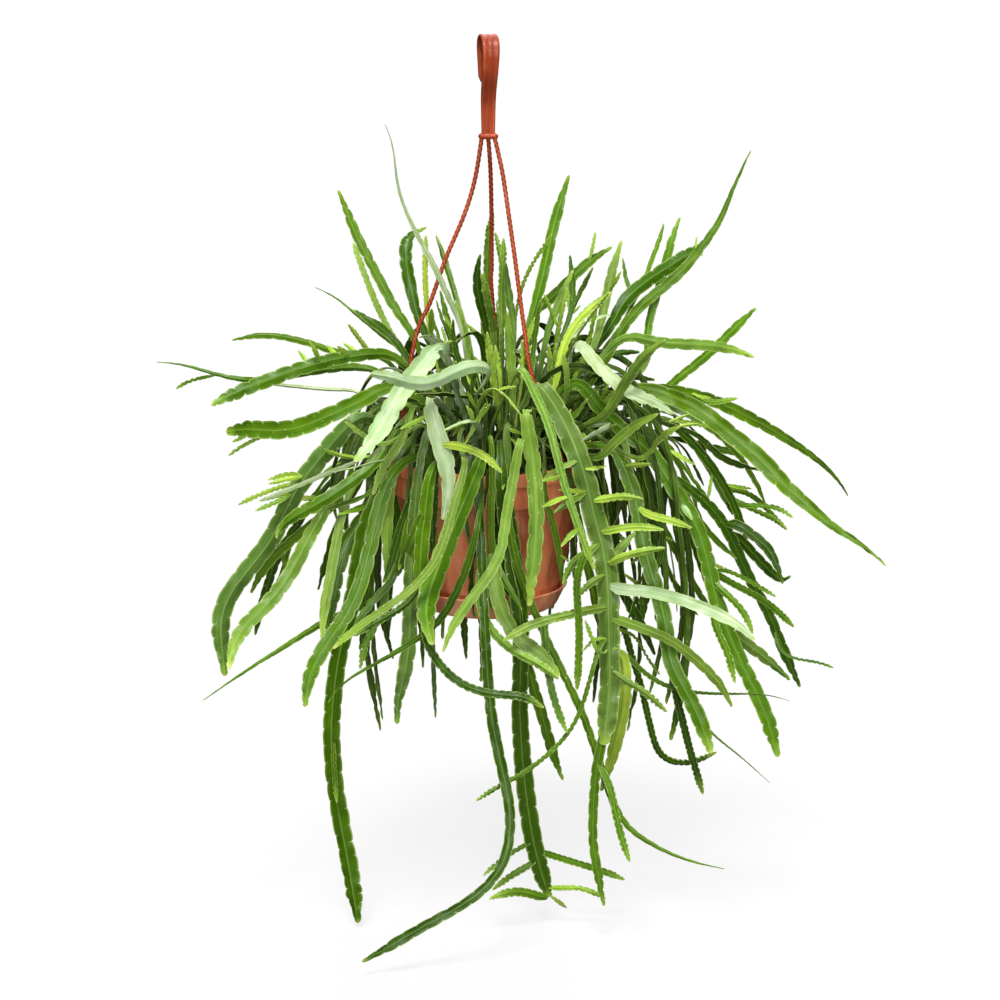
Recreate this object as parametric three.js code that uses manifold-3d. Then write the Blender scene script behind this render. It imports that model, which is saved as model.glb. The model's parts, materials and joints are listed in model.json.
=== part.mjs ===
// A hanging pot of Lepismium bolivianum, a forest cactus with flat strap stems.
// Millimetres, +Z up, +X to the right and -Y to the front. The origin is the middle of the flat
// under the hook's crown, where the pot hangs, so the whole plant lies below it.
import * as THREE from "three";
import { mergeVertices } from "three/addons/utils/BufferGeometryUtils.js";
import Module from "manifold-3d";

const wasm = await Module();
wasm.setup();

const deg = Math.PI / 180;
const gap = 0.3; // clearance between pieces that touch
const roundSides = 30;

// Pot and saucer
const rimZ = -314;
const rimRadius = 75;
const lipHeight = 10.5;
const lipWall = 3.4;
const bandRadius = 73.4;
const bandFootZ = rimZ - 28;
const bodyTopRadius = 70.5;
const bodyFootRadius = 54;
const bodyFootZ = -418;
const footRadius = 46.5;
const potWall = 1.8;
const saucerFootZ = -430.5;
const saucerWall = 1.6;
const saucerTopZ = -413;
const saucerTopRadius = 60;
const saucerFootRadius = 50;
const potFootZ = saucerFootZ + saucerWall + gap;
const drainHoleRadius = 3.5;
const drainHoleRing = 30;

// Soil and the round holes that the stem bases stand in
const soilZ = rimZ - 8;
const soilCrown = 2.5; // the middle stands higher than the edge
const soilDomeRadius = 68; // where the dome would meet the soil's own level
const soilTopRadius = 66;
const baseRadius = 4.4;
const baseDepth = 9;
const baseSides = 5;
const baseRise = 4; // how far the base of a clump stands out of the soil
const basesRadius = 62; // the ways of the stems cross this circle before they reach the rim
const overRimRadius = 83; // and this one behind it

// Hanger
const strapThickness = 2.6;
const strapWidthTop = 13;
const strapWidthFoot = 10;
const hookInnerRadius = 11;
const hookTurn = 12 * deg; // the loop is turned so that its free end shows on the left
const hookFreeLeg = 23;
const hookFacets = 7; // an odd number, so that one facet is the flat seat
const collarHeight = 5;
const collarWidth = 15;
const strandRadius = 1.9;
const strandPitch = 29; // one full turn of the moulded twist
const rimClipWidth = 9;

// Stems
const bladeStep = 26; // ring spacing along a stem, one tooth on alternate edges
const toothDepth = 0.17; // share of the half width that a notch cuts in
const bladeThickness = 0.15; // share of the width
const thinnestBlade = 1.2;
const baseShare = 0.36; // a stem's width at its base, as a share of its full width
const baseRun = 120; // how far from its base a stem reaches its full width
const tipShare = 0.3;
const tipRun = 22;
const longStem = 110; // a stem longer than this that is seen narrow may be turned edge on
const edgeOnWidth = 7.5; // the width that such a stem may have at most
const edgeOnFactor = 1.7;
const rootedReach = 45; // stems of one clump may touch this near their base
const shootRoot = 2; // how far a shoot starts behind the middle of the stem that it grows on
const routeStep = 8; // spacing of the points that are kept apart
const tinyWidth = 4;
const tinyPoints = 5; // a shoot's length in steps of its route, its first point included
const clearance = 2.6; // kept between stems that pass each other

const palette = {
  M: 0x4f7f35,
  D: 0x35602a,
  L: 0x7aa548,
  Y: 0xa9bf4a,
  P: 0xa9c78f,
  B: 0x4c7a52,
};
const terracotta = 0xb9603f;
const hangerRed = 0x9c4630;
const soilBrown = 0x3b2a20;

// Front view
// The routes of the stems are given as the front shows them, in the pixels of a view of
// 1000 x 1000 that looks down on the plant by viewElevation from viewDistance. A third value,
// the depth, is the point's Y.
const viewDistance = 2600;
const viewElevation = 13.5 * deg;
const viewFocal = 3421;
const viewCentre = 500;
const viewTarget = new THREE.Vector3(8.7, 0, -350);
const viewForward = new THREE.Vector3(0, Math.cos(viewElevation), -Math.sin(viewElevation));
const viewUp = new THREE.Vector3(0, Math.sin(viewElevation), Math.cos(viewElevation));
const viewEye = viewTarget.clone().addScaledVector(viewForward, -viewDistance);

function frontView(x, y, depth) {
  const ray = viewForward.clone();
  ray.x += (x - viewCentre) / viewFocal;
  ray.addScaledVector(viewUp, -(y - viewCentre) / viewFocal);
  return viewEye.clone().addScaledVector(ray, (depth - viewEye.y) / ray.y);
}

// Where a point is seen from the front, as millimetres in the plane of the pot's axis.
function seenAt(point) {
  const scale = -viewEye.y / (point.y - viewEye.y);
  return [
    viewEye.x + (point.x - viewEye.x) * scale,
    viewEye.z + (point.z - viewEye.z) * scale,
  ];
}

// Stems that the front shows. Each clump is one node: stems that share a base in the soil, with
// their side shoots. A stem is [tone, seen width, depth where it shows first, depth at its tip,
// route, side shoots], and a shoot is [tone, width, how far it comes forward (-) or goes back (+),
// route] from the stem that it grows on.
const seenClumps = {
  stems_left_1: [
    ["M", 6, 5, 30, [385,372, 300,373, 265,381, 240,379.5, 213,374, 184,364, 156,362], [
      ["M", 3, 12, [213,375, 188,381, 176,389]]]],
    ["P", 3, 25, 50, [360,391, 345,391, 320,389, 269,384]],
  ],
  stems_left_2: [
    ["M", 10.5, -10, -60, [399,358, 380,354, 349,356, 322,362, 295,370, 272,379, 249,387, 230,395, 211,405], [
      ["L", 4, 8, [309,366, 309,361, 298,350]],
      ["L", 4, -8, [320,363, 320,357, 309,341]],
      ["Y", 4, 10, [335,359, 335,355, 327,345]],
      ["Y", 4, -6, [345,357, 345,352, 337,346]],
      ["Y", 4, 6, [355,356, 354,350, 343,343]]]],
  ],
  stems_left_3: [
    ["M", 5, 40, 120, [390,360, 341,354, 322,347, 303,341, 280,336, 257,334.5, 232,340], [
      ["Y", 4, -12, [366,356, 366,349, 357,335, 348,324]]]],
    ["M", 4.5, 60, 115, [410,360, 395,345, 370,326, 351,310, 332,294, 314,287]],
    ["D", 7.5, 30, 60, [404,351, 385,332, 370,320, 353,310]],
  ],
  stems_left_4: [
    ["M", 13, -25, -110, [398,385, 370,397, 341,410, 314,422, 292,430, 269,431, 242,428, 226,432], [
      ["L", 3, -10, [268,431, 257,439, 240,446, 228,456]],
      ["L", 3, 10, [248,429, 245,437, 232,442]]]],
  ],
  stems_left_5: [
    ["B", 14.5, -35, -60, [366,412, 351,423, 332,443, 313,467, 295,490, 284,515, 269,544, 254,562,
      239,581, 226,599, 220,616, 220,634, 223,653, 225,676], [
      ["Y", 4, 8, [305,476, 299,471, 268,480]],
      ["Y", 4, -6, [303,480, 296,477, 268,484]],
      ["Y", 4, 12, [300,484, 295,482, 256,496, 238,505]],
      ["L", 4, -12, [294,492, 286,493, 259,501]],
      ["L", 4, 0, [292,497, 284,499, 255,511]]]],
  ],
  stems_left_6: [
    ["M", 10, -50, -110, [378,464, 354,479, 336,494, 315,505, 299,514, 284,521, 276,531, 276.5,538]],
    ["P", 3.5, -30, -60, [370,455, 354,464, 337,468, 310,481, 287,490, 260,501]],
    ["Y", 4, -45, -60, [366,458, 352,458.5, 336,456, 323,449]],
    ["L", 5, -75, -100, [384,450, 374,443, 358,432, 345,422]],
  ],
  stems_left_7: [
    ["M", 7, 10, 50, [343,495, 328,510, 315,521, 299,534, 284,547, 269,560, 258,577, 251,593]],
    ["L", 11.5, -30, -130, [324,514, 313,529, 304,547, 295,566, 284,584, 269,603, 254,617, 239,632,
      232,647, 229,669]],
    ["D", 7.5, 40, 110, [310,505, 299,523, 278,555, 269,581, 263,601, 255,635]],
    ["M", 5, 60, 30, [392,575, 369,603, 345,612, 321,623, 287,645, 250,668, 202,701]],
  ],
  stems_left_8: [
    ["P", 15, -50, -140, [446,344, 430,357, 418,370, 399,395, 385,422, 372,443, 355,462], [
      ["Y", 2.5, 6, [444,347, 447,343, 453,341]]]],
    ["P", 10.5, -82, -130, [494,372, 482,367, 467,364, 450,375, 436,383, 417,386, 400,380, 390,375, 371,374]],
  ],
  stems_low_left_1: [
    ["D", 13.5, -60, -70, [372,505, 362,545, 355,590, 348,620, 339,653, 333,700, 331,735, 334,780,
      340,820, 347,855, 353,890, 358,923], [
      ["M", 4.5, -12, [332,745, 333,754, 335,780, 337,803]]]],
    ["D", 12, -20, -40, [372,499, 361,518, 348,540, 339,560, 334,584, 330,606, 327,634]],
  ],
  stems_low_left_2: [
    ["M", 11.5, -85, -125, [398,464, 387,486, 378,507, 374,532, 367,560, 361,584, 352,606, 339,627,
      324,647, 313,666, 306,686, 305,707]],
    ["L", 7, -55, -95, [350,492, 341,518, 336,544, 332,566, 328,588, 324,606, 322,625, 322,641]],
  ],
  stems_low_left_3: [
    ["L", 8.5, -45, -60, [392,480, 390,500, 386,540, 391,575, 385,600], [
      ["M", 6, -14, [388,590, 387,597, 380,616, 369,636, 363,653, 360,669]],
      ["Y", 3, -8, [389,512, 391,507, 387,500]]]],
    ["D", 6, -78, -80, [420,473, 413,496, 403,521, 395,546, 390,571, 383,583]],
  ],
  stems_upper_left_1: [
    ["M", 7.5, 10, 20, [414,334, 402,321, 391,302, 379,279, 366,254, 354,231, 345,206, 338,190]],
    ["L", 4.5, 35, 75, [396,342, 387,327, 377,307, 368,284, 360,262, 353,242]],
  ],
  stems_upper_left_2: [
    ["P", 4, -10, -40, [462,330, 454,311, 446,292, 435,267, 421,242, 410,221, 402,202, 396,181, 395,158,
      392,137, 385,124]],
    ["D", 3, 25, 40, [448,335, 442,323, 436,300]],
    ["M", 3.5, 10, 20, [440,340, 436,330, 431,311]],
  ],
  stems_upper_left_3: [
    ["D", 10.5, 20, 50, [418,321, 413,298, 408,273, 404,252, 403,243, 410,234, 418,229], [
      ["Y", 3, -6, [410,234, 418,229, 427,227]]]],
    ["Y", 4, 0, -10, [429,330, 427,307, 425,283, 425,258, 426,235]],
  ],
  stems_upper_left_4: [
    ["M", 4.5, 45, 95, [471,350, 465,328, 458,306, 452,284, 444,258, 436,235]],
    ["D", 7.5, -15, -20, [454,345, 452,334, 453,319], [
      ["Y", 3, -5, [453,330, 449,323, 444,315]]]],
    ["P", 8.5, -30, -60, [452,366, 442,353, 433,334, 426,333, 419,337]],
    ["D", 6, -20, -50, [484,350, 479,332, 467,331, 456,342]],
  ],
  stems_crown_1: [
    ["L", 6, 62, 45, [492,330, 488,290, 487,262, 489,232, 493,211]],
    ["D", 7, 0, -25, [488,334, 484,320, 480,301, 476,284, 477,265, 480.5,254]],
  ],
  stems_crown_2: [
    ["L", 6, 18, 4, [494,334, 490,315, 485,290, 482,273]],
    ["L", 4, 30, 46, [504,310, 502.5,271, 500,252, 495,232]],
    ["L", 5.5, 10, 20, [502,334, 501,315, 502,280, 503.5,257, 503.5,238]],
  ],
  stems_crown_3: [
    ["B", 6, -15, -20, [515,330, 511,311, 507,286, 506,263]],
    ["L", 7.5, -50, -60, [513,400, 511,363, 509,334, 507,312]],
    ["Y", 5.5, -70, -80, [498,410, 494,382, 490,353, 487,332]],
    ["Y", 4.5, -60, -62, [502,391, 498,368, 495,345]],
  ],
  stems_crown_4: [
    ["M", 8.5, 30, 60, [530,326, 534,311, 540,288, 546,263, 551,236, 557,213, 564,190, 569,175]],
    ["L", 3, 0, -10, [515,320, 523,284, 528,269, 540,252, 552,234]],
    ["L", 4.5, -30, -35, [550,400, 550,372, 549,345]],
  ],
  stems_crown_5: [
    ["M", 8.5, 50, 110, [528,322, 542,307, 559,292, 576,273, 595,257, 612,247]],
    ["L", 7, 5, 15, [547,332, 555,315, 563,294, 573,270]],
    ["L", 4.5, -45, -50, [565,401, 567,372, 563,353]],
  ],
  stems_crown_6: [
    ["D", 5.5, 60, 80, [570,319, 573,296, 572,273, 570,255]],
    ["M", 4.5, 80, 100, [576,301, 584,286, 593,267]],
    ["Y", 6, -20, 0, [551,397, 557,382, 561,353, 568,334, 582,315, 599,301, 612,292]],
    ["P", 3, 20, 30, [562,350, 570,338, 582,322, 593,315, 611,315]],
    ["D", 6, -60, -65, [566,428, 576,414, 588,399]],
  ],
  stems_upper_right_1: [
    ["D", 12, 40, 90, [612,325, 618,308, 634,290, 653,277, 673,264, 690,254, 704,245], [
      ["Y", 2.5, 5, [700,247, 705,245, 710,243]],
      ["Y", 2.5, -5, [697,250, 700,252, 703,256]],
      ["Y", 2.5, 0, [694,250, 695,243, 697,236]]]],
    ["L", 7.5, 30, 50, [592,351, 597,336, 603,314, 607,293, 612,271, 618,251, 622,240], [
      ["L", 3, -8, [608,292, 614,286, 621,271]]]],
    ["D", 4.5, 70, 110, [632,310, 628,290, 625,273, 623,258]],
  ],
  stems_upper_right_2: [
    ["M", 8.5, 5, 20, [600,370, 618,334, 636,310, 653,295, 673,280, 688,266, 704,243, 716,230, 725,210,
      733,188, 742,169, 751,150]],
    ["M", 3.5, 60, 80, [638,295, 645,275, 653,256, 661,238, 664,223]],
  ],
  stems_upper_right_3: [
    ["M", 6, 60, 110, [640,375, 645,336, 651,314, 656,298, 666,262, 673,234, 680,217]],
    ["M", 7, 50, 130, [655,396, 664,390, 677,379, 694,366, 712,351, 729,334, 744,319, 756,308]],
  ],
  stems_right_1: [
    ["L", 8.5, -5, -60, [616,340, 647,342, 679,344, 712,345, 733,349, 754,357]],
    ["P", 10, -40, -130, [573,343, 588,355, 603,371, 618,385, 636,396, 655,401, 673,414]],
  ],
  stems_right_2: [
    ["L", 7, -75, -125, [601,422, 612,406, 624,384, 634,368, 648,351, 666,340]],
    ["L", 7, -90, -140, [595,461, 610,447, 625,434, 642,421, 658,414]],
    ["P", 5.5, -60, -70, [618,423, 603,428, 588,437, 576,444]],
    ["L", 5.5, -80, -115, [640,462, 650,451, 658,441, 668,432, 681,426]],
  ],
  stems_right_3: [
    ["M", 13, -10, -40, [632,388, 658,392, 679,399, 701,410, 722,427, 744,446, 755,452, 772,472, 790,491,
      809,506, 831,526, 853,539, 870,550, 886,566]],
  ],
  stems_right_4: [
    ["M", 10, 30, 90, [645,389, 673,392, 701,396, 724,405, 744,415, 766,426, 790,441, 816,458, 833,474,
      844,487, 848,496], [
      ["L", 4.5, -12, [700,397, 707,405, 722,401, 738,398]],
      ["Y", 3, -8, [690,394, 694,400, 711,398]]]],
  ],
  stems_right_5: [
    ["M", 12, -60, -110, [610,443, 623,465, 632,487, 638,508, 642,541, 649,565, 658,595, 666,621, 668,656,
      677,677, 690,697, 701,722, 709,743, 711,753], [
      ["D", 6, 25, [665,628, 664,641, 672,667, 676,696, 683,722, 689,747, 697,773, 703,794]],
      ["M", 3.5, -10, [703,727, 709,731, 723,743, 740,756, 770,783]],
      ["Y", 6, -14, [640,512, 645,515, 668,519, 692,528]],
      ["Y", 4.5, -12, [622,464, 630,465, 651,464]]]],
  ],
  stems_right_6: [
    ["M", 12, -45, -60, [573,379, 588,392, 603,412, 625,432, 651,450, 662,469, 675,491, 686,506, 699,530,
      705,552, 712,580, 716,602, 725,623, 733,645, 744,669, 755,691, 766,714, 778,757], [
      ["M", 3.5, 12, [709,568, 718,567, 740,576, 755,584, 776,597]],
      ["M", 5.5, 25, [711,576, 714,573, 733,584, 755,595, 772,606, 794,627]],
      ["M", 5.5, -16, [713,586, 718,586, 731,599, 744,610, 753,634]],
      ["B", 9, 20, [730,637, 733,634, 751,647, 768,660, 790,680]],
      ["M", 6, -25, [716,604, 712,615, 716,630, 725,645, 731,664, 735,683]],
      ["P", 6, -12, [682,501, 688,512, 692,520]]]],
  ],
  stems_right_7: [
    ["D", 9, 30, 80, [681,482, 701,498, 720,517, 733,541, 744,567, 755,589, 766,606, 775,628, 785,654,
      794,673, 800,687], [
      ["D", 8.5, -25, [725,524, 733,521, 751,534, 768,547, 777,565, 783,584]],
      ["D", 8.5, 25, [731,535, 740,539, 755,556, 770,571, 783,584, 791,576]],
      ["M", 2.5, -20, [776,631, 778,650, 794,659, 820,662, 834,668]]]],
    ["B", 5, 60, 80, [665,415, 677,428, 694,443, 707,463, 716,480, 725,498, 733,515], [
      ["M", 4.5, 20, [719,487, 725,489, 744,491, 759,500, 772,515, 787,530]],
      ["M", 4.5, -20, [727,501, 731,506, 751,505, 768,506, 781,508, 793,518]],
      ["M", 4.5, 0, [725,496, 733,498, 755,511, 777,519, 785,528]]]],
    ["D", 6, 90, 140, [683,440, 699,445, 716,449, 733,452, 746,456]],
  ],
  stems_front_1: [
    ["B", 16.5, -65, -105, [532,382, 542,388, 561,416, 574,445, 585,475, 593,512, 599,533, 605,555, 608,586,
      609,632, 610,682, 607,722, 603,745], [
      ["M", 7.5, 5, [606,730, 603,745, 597,763, 595,784, 593,814, 593,845, 597,867, 600,886, 604,906]],
      ["M", 6, -14, [597,763, 605,775, 611,788, 613,800, 617,820, 621,835, 625,849, 630,862]],
      ["Y", 10, 22, [614,645, 623,653, 625,678, 625,702, 621,722, 615,747, 609,769, 601,791]],
      ["L", 7, -28, [609,606, 600,608, 583,611, 564,616, 542,621, 520,630, 503,641]],
      ["P", 9, -45, [609,590, 616,589, 647,591, 673,597, 699,606, 725,617, 742,628, 755,640]],
      ["L", 7.5, 10, [609,618, 620,620, 647,630, 673,641, 694,658, 712,675, 723,688, 732,707]],
      ["L", 6, -12, [610,676, 620,679, 636,686, 651,697, 667,712]],
      ["M", 4, 35, [610,645, 623,651, 638,667, 658,682, 679,690, 701,693, 733,694, 764,694, 790,701]],
      ["D", 5.5, 50, [610,620, 623,624, 630,651, 640,682, 646,708, 652,733, 658,753, 670,762, 685,764,
        699,761, 717,752]],
      ["M", 2.5, 18, [611,625, 634,633, 644,653, 660,675]],
      ["M", 4, -25, [608,634, 600,640, 597,655, 589,682, 581,710, 570,731, 556,747, 538,763, 515,778,
        495,788, 476,801]],
      ["L", 3.5, -10, [609,650, 601,659, 593,641, 585,620]],
      ["L", 3, -6, [608,640, 601,634, 591,639, 583,651]],
      ["Y", 6, -12, [592,503, 600,500, 623,495, 643,499]],
      ["Y", 6, -14, [599,536, 605,531, 636,526, 664,530]],
      ["Y", 6, -10, [606,564, 613,560, 638,552, 665,548]],
      ["L", 6.5, 10, [604,560, 613,556, 624,544, 636,532]],
      ["Y", 3.5, -8, [582,470, 587,470, 607,466]],
      ["L", 6.5, -16, [598,548, 587,552, 574,560, 566,574, 563,585]],
      ["L", 5.5, -12, [605,572, 598,578, 582,589, 575,600]],
      ["L", 4.5, -8, [580,462, 567,466, 558,468, 549,473, 543,479]],
      ["Y", 3.5, -10, [586,489, 576,491, 558,490]],
      ["L", 5.5, -12, [589,494, 580,496, 568,502, 554,513]]]],
  ],
  stems_front_2: [
    ["L", 5.5, -100, -140, [519,366, 527,380, 536,395, 544,410, 551,431, 557,454, 563,480, 572,506, 579,527,
      586,546, 595,570], [
      ["M", 6, 20, [586,547, 577,575, 577,596, 579,620, 579,650, 577,690]],
      ["L", 4, -8, [562,477, 560,478, 542,481]],
      ["Y", 4, -10, [566,494, 554,497, 549,509, 542,507]],
      ["L", 4.5, -8, [579,526, 577,527, 569,536, 561,547]]]],
  ],
  stems_front_3: [
    ["D", 13.5, -90, -62, [500,470, 508,520, 515,570, 521,620, 521,660, 519.5,700, 521,740, 525,785, 531,830,
      538,862, 549,897], [
      ["M", 4, -14, [529,840, 525,845, 511,853, 497,863, 483,876]],
      ["M", 5.5, -8, [534,862, 529,867, 513,873, 503,882, 492,890]],
      ["M", 7, -14, [546,893, 540,898, 523,890, 511,892, 499,894, 489,899]],
      ["M", 5.5, 14, [537,852, 545,853, 564,859, 583,865, 603,871, 625,880]],
      ["L", 4.5, -4, [547,888, 555,890, 572,886, 587,889, 606,899]],
      ["Y", 3.5, 6, [548,895, 558,901, 567,908]],
      ["M", 8.5, 16, [521,636, 525,659, 532,682, 538,702, 544,722, 550,743, 556,763, 563,780]]]],
  ],
  stems_front_4: [
    ["D", 8, -97, -170, [480,500, 482,560, 484,600, 485,627, 488,680, 491,714, 500,760, 508,795, 511,820,
      509,845, 502,868, 487,887, 460,907, 427,924, 395,943, 362,962], [
      ["L", 7, -20, [482,568, 479,604, 488,626, 504,644, 521,656, 537,662, 559,679]]]],
    ["D", 5.5, -110, -110, [478,520, 468,565, 459,585, 453,601, 443,617, 430,631, 413,641, 396,653, 374,664,
      353,676, 334,689, 328,703]],
  ],
  stems_front_5: [
    ["M", 5.5, -92, -100, [505,490, 511,538, 518,568, 530,602, 538,620, 548,643, 560,667, 572,692, 583,714,
      593,743, 601,767, 609,790, 617,814, 630,831, 646,841, 664,851, 685,860, 705,865, 725,869], [
      ["M", 6, -16, [537,614, 544,614, 545,641, 548,671, 552,692, 558,712, 567,733]]]],
    ["B", 6, -72, -88, [505,420, 509,440, 508,468, 506,490]],
  ],
  stems_front_6: [
    ["L", 11.5, -118, -128, [524,407, 528,430, 533,455, 534,480, 537,505, 536,530, 534,554, 531,579,
      529,606]],
    ["M", 4.5, -88, -96, [491,430, 493,480, 491,513, 491,538, 494,559, 501,576, 511,591, 522,610], [
      ["L", 11.5, -26, [493,552, 496,590, 506,622, 521,641, 538,652, 551,662, 559,676]]]],
  ],
  stems_front_7: [
    ["L", 7.5, -130, -160, [523,436, 518,455, 513,480, 508,505, 504,530, 503,549, 496,566, 483,583, 471,599,
      460,614, 450,629, 443,652]],
  ],
  stems_front_8: [
    ["M", 15, -108, -150, [485,450, 470,488, 452,530, 438,568, 426,600, 424,615, 433,645], [
      ["D", 6.5, -10, [425,600, 425,640, 437,661, 452,678, 467,687, 490,694, 511,695, 529,697, 544,708]]]],
    ["B", 6, -80, -100, [486,405, 480,418, 473,434, 465,444]],
  ],
  stems_front_9: [
    ["B", 11.5, -82, -100, [416,490, 415,520, 412,560, 410,590, 410,620, 409,645, 406,668, 400,690, 395.5,708,
      397,724]],
    ["M", 11.5, -92, -96, [433,463, 428,488, 425,513, 421,546, 420,580, 420,600], [
      ["D", 6, -14, [423,585, 405,606, 380,620, 354,636]],
      ["M", 8, 14, [424,513, 413,538, 405,559, 397,576]]]],
  ],
  stems_front_10: [
    ["L", 5.5, -122, -150, [469,458, 463,475, 456,496, 451,516, 446,536, 441,553, 430,571, 413,589, 397,601,
      361,625, 333,649]],
  ],
  stems_front_11: [
    ["P", 13.5, -95, -130, [428,395, 432,416, 438,438, 444,456, 449,474, 449,490, 446,505, 443,520], [
      ["L", 4, -10, [432,418, 423,419, 408,424, 400,429]],
      ["Y", 6, -14, [442,448, 450,443, 463,448, 476,450, 488,458, 496,466, 502,473]]]],
    ["L", 6, -90, -115, [415,402, 410,418, 407,434, 400,444, 392,454, 383,467, 375,483, 373,495]],
  ],
  stems_front_12: [
    ["P", 8.5, -128, -150, [476,420, 464,421, 455,423, 444,430]],
    ["Y", 4, -85, -110, [488,387, 502,391, 513,403, 523,418]],
    ["D", 5.5, -60, -80, [473,368, 482,387, 488,407]],
  ],
};

// Stems behind, which the front hides: how many clumps, and the fan that they fill.
const backClumps = 7;
const backStemsEach = 3;
const backFrom = 48 * deg;
const backTo = 132 * deg;
const backSeed = 20;

// A repeatable random number between 0 and 1.
function makeRandom(seed) {
  let state = seed;
  return () => {
    state = (state * 16807) % 2147483647;
    return state / 2147483647;
  };
}

// A smooth route through points, as evenly spaced points about step apart.
function smoothRoute(points, step) {
  const fine = [];
  const last = points.length - 1;
  const spanParts = 8;
  for (let i = 0; i < last; i++) {
    const a = points[Math.max(i - 1, 0)];
    const b = points[i];
    const c = points[i + 1];
    const d = points[Math.min(i + 2, last)];
    for (let k = 0; k < spanParts; k++) {
      const t = k / spanParts;
      const weights = [
        -0.5 * t + t * t - 0.5 * t * t * t,
        1 - 2.5 * t * t + 1.5 * t * t * t,
        0.5 * t + 2 * t * t - 1.5 * t * t * t,
        -0.5 * t * t + 0.5 * t * t * t,
      ];
      fine.push(
        new THREE.Vector3()
          .addScaledVector(a, weights[0])
          .addScaledVector(b, weights[1])
          .addScaledVector(c, weights[2])
          .addScaledVector(d, weights[3]),
      );
    }
  }
  fine.push(points[last].clone());
  const reach = [0];
  for (let i = 1; i < fine.length; i++) {
    reach.push(reach[i - 1] + fine[i].distanceTo(fine[i - 1]));
  }
  const total = reach[reach.length - 1];
  const count = Math.max(2, Math.round(total / step));
  const even = [];
  let at = 0;
  for (let i = 0; i <= count; i++) {
    const want = (total * i) / count;
    while (at < fine.length - 2 && reach[at + 1] < want) at++;
    const share = (want - reach[at]) / Math.max(reach[at + 1] - reach[at], 1e-9);
    even.push(fine[at].clone().lerp(fine[at + 1], Math.min(Math.max(share, 0), 1)));
  }
  return even;
}

function routeLength(points) {
  let total = 0;
  for (let i = 1; i < points.length; i++) total += points[i].distanceTo(points[i - 1]);
  return total;
}

function traced(route, fromDepth, toDepth) {
  const points = [];
  const count = route.length / 2;
  for (let i = 0; i < count; i++) {
    const share = i / Math.max(count - 1, 1);
    const depth = fromDepth + (toDepth - fromDepth) * share;
    points.push(frontView(route[2 * i], route[2 * i + 1], depth));
  }
  return points;
}

// The spots where clumps stand: rings of bases on the soil.
const spotRings = [
  { count: 4, radius: 10 },
  { count: 10, radius: 25 },
  { count: 15, radius: 40.5 },
  { count: 22, radius: 55.5 },
];

// Each clump gets a spot by where it heads: the steeper it rises, the nearer the middle it
// stands, and round each ring the spots follow the order of the headings.
function assignSpots(heads) {
  const names = Object.keys(heads).sort((a, b) => heads[b].rise - heads[a].rise);
  const spots = {};
  let from = 0;
  for (const ring of spotRings) {
    const group = names.slice(from, from + ring.count);
    from += ring.count;
    group.sort((a, b) => heads[a].turn - heads[b].turn);
    const count = group.length;
    if (!count) continue;
    // The turn of the whole ring that brings each spot nearest to its heading.
    let sumSin = 0;
    let sumCos = 0;
    group.forEach((name, i) => {
      const off = heads[name].turn - (2 * Math.PI * i) / count;
      sumSin += Math.sin(off);
      sumCos += Math.cos(off);
    });
    const start = Math.atan2(sumSin, sumCos);
    group.forEach((name, i) => {
      const angle = start + (2 * Math.PI * i) / count;
      spots[name] = new THREE.Vector2(ring.radius * Math.cos(angle), ring.radius * Math.sin(angle));
    });
  }
  return spots;
}

function soilTopAt(radius) {
  return soilZ + soilCrown * (1 - (radius / soilDomeRadius) ** 2);
}

// The way from a base in the soil to the first point that shows: up, and clear over the rim.
function fromBase(spot, first, order) {
  const z = soilTopAt(spot.length());
  const points = [
    new THREE.Vector3(spot.x, spot.y, z + baseRise - 2),
    new THREE.Vector3(spot.x, spot.y, z + baseRise + 5),
  ];
  const reach = Math.hypot(first.x, first.y);
  const overRim = rimZ + 14 + 7 * (order % 4);
  if (reach > basesRadius && first.z < rimZ + 40) {
    const share = basesRadius / reach;
    const lean = 0.8;
    points.push(
      new THREE.Vector3(
        spot.x + (first.x * share - spot.x) * lean,
        spot.y + (first.y * share - spot.y) * lean,
        overRim,
      ),
    );
    if (reach > 90 && first.z < rimZ) {
      const out = (overRimRadius + 2 * (order % 3)) / reach;
      points.push(new THREE.Vector3(first.x * out, first.y * out, overRim - 4));
    }
  }
  return points;
}

// New growth too small to matter in the solids.
function tiny(stem) {
  return stem.parent && stem.width <= tinyWidth && stem.line.length <= tinyPoints;
}

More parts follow.
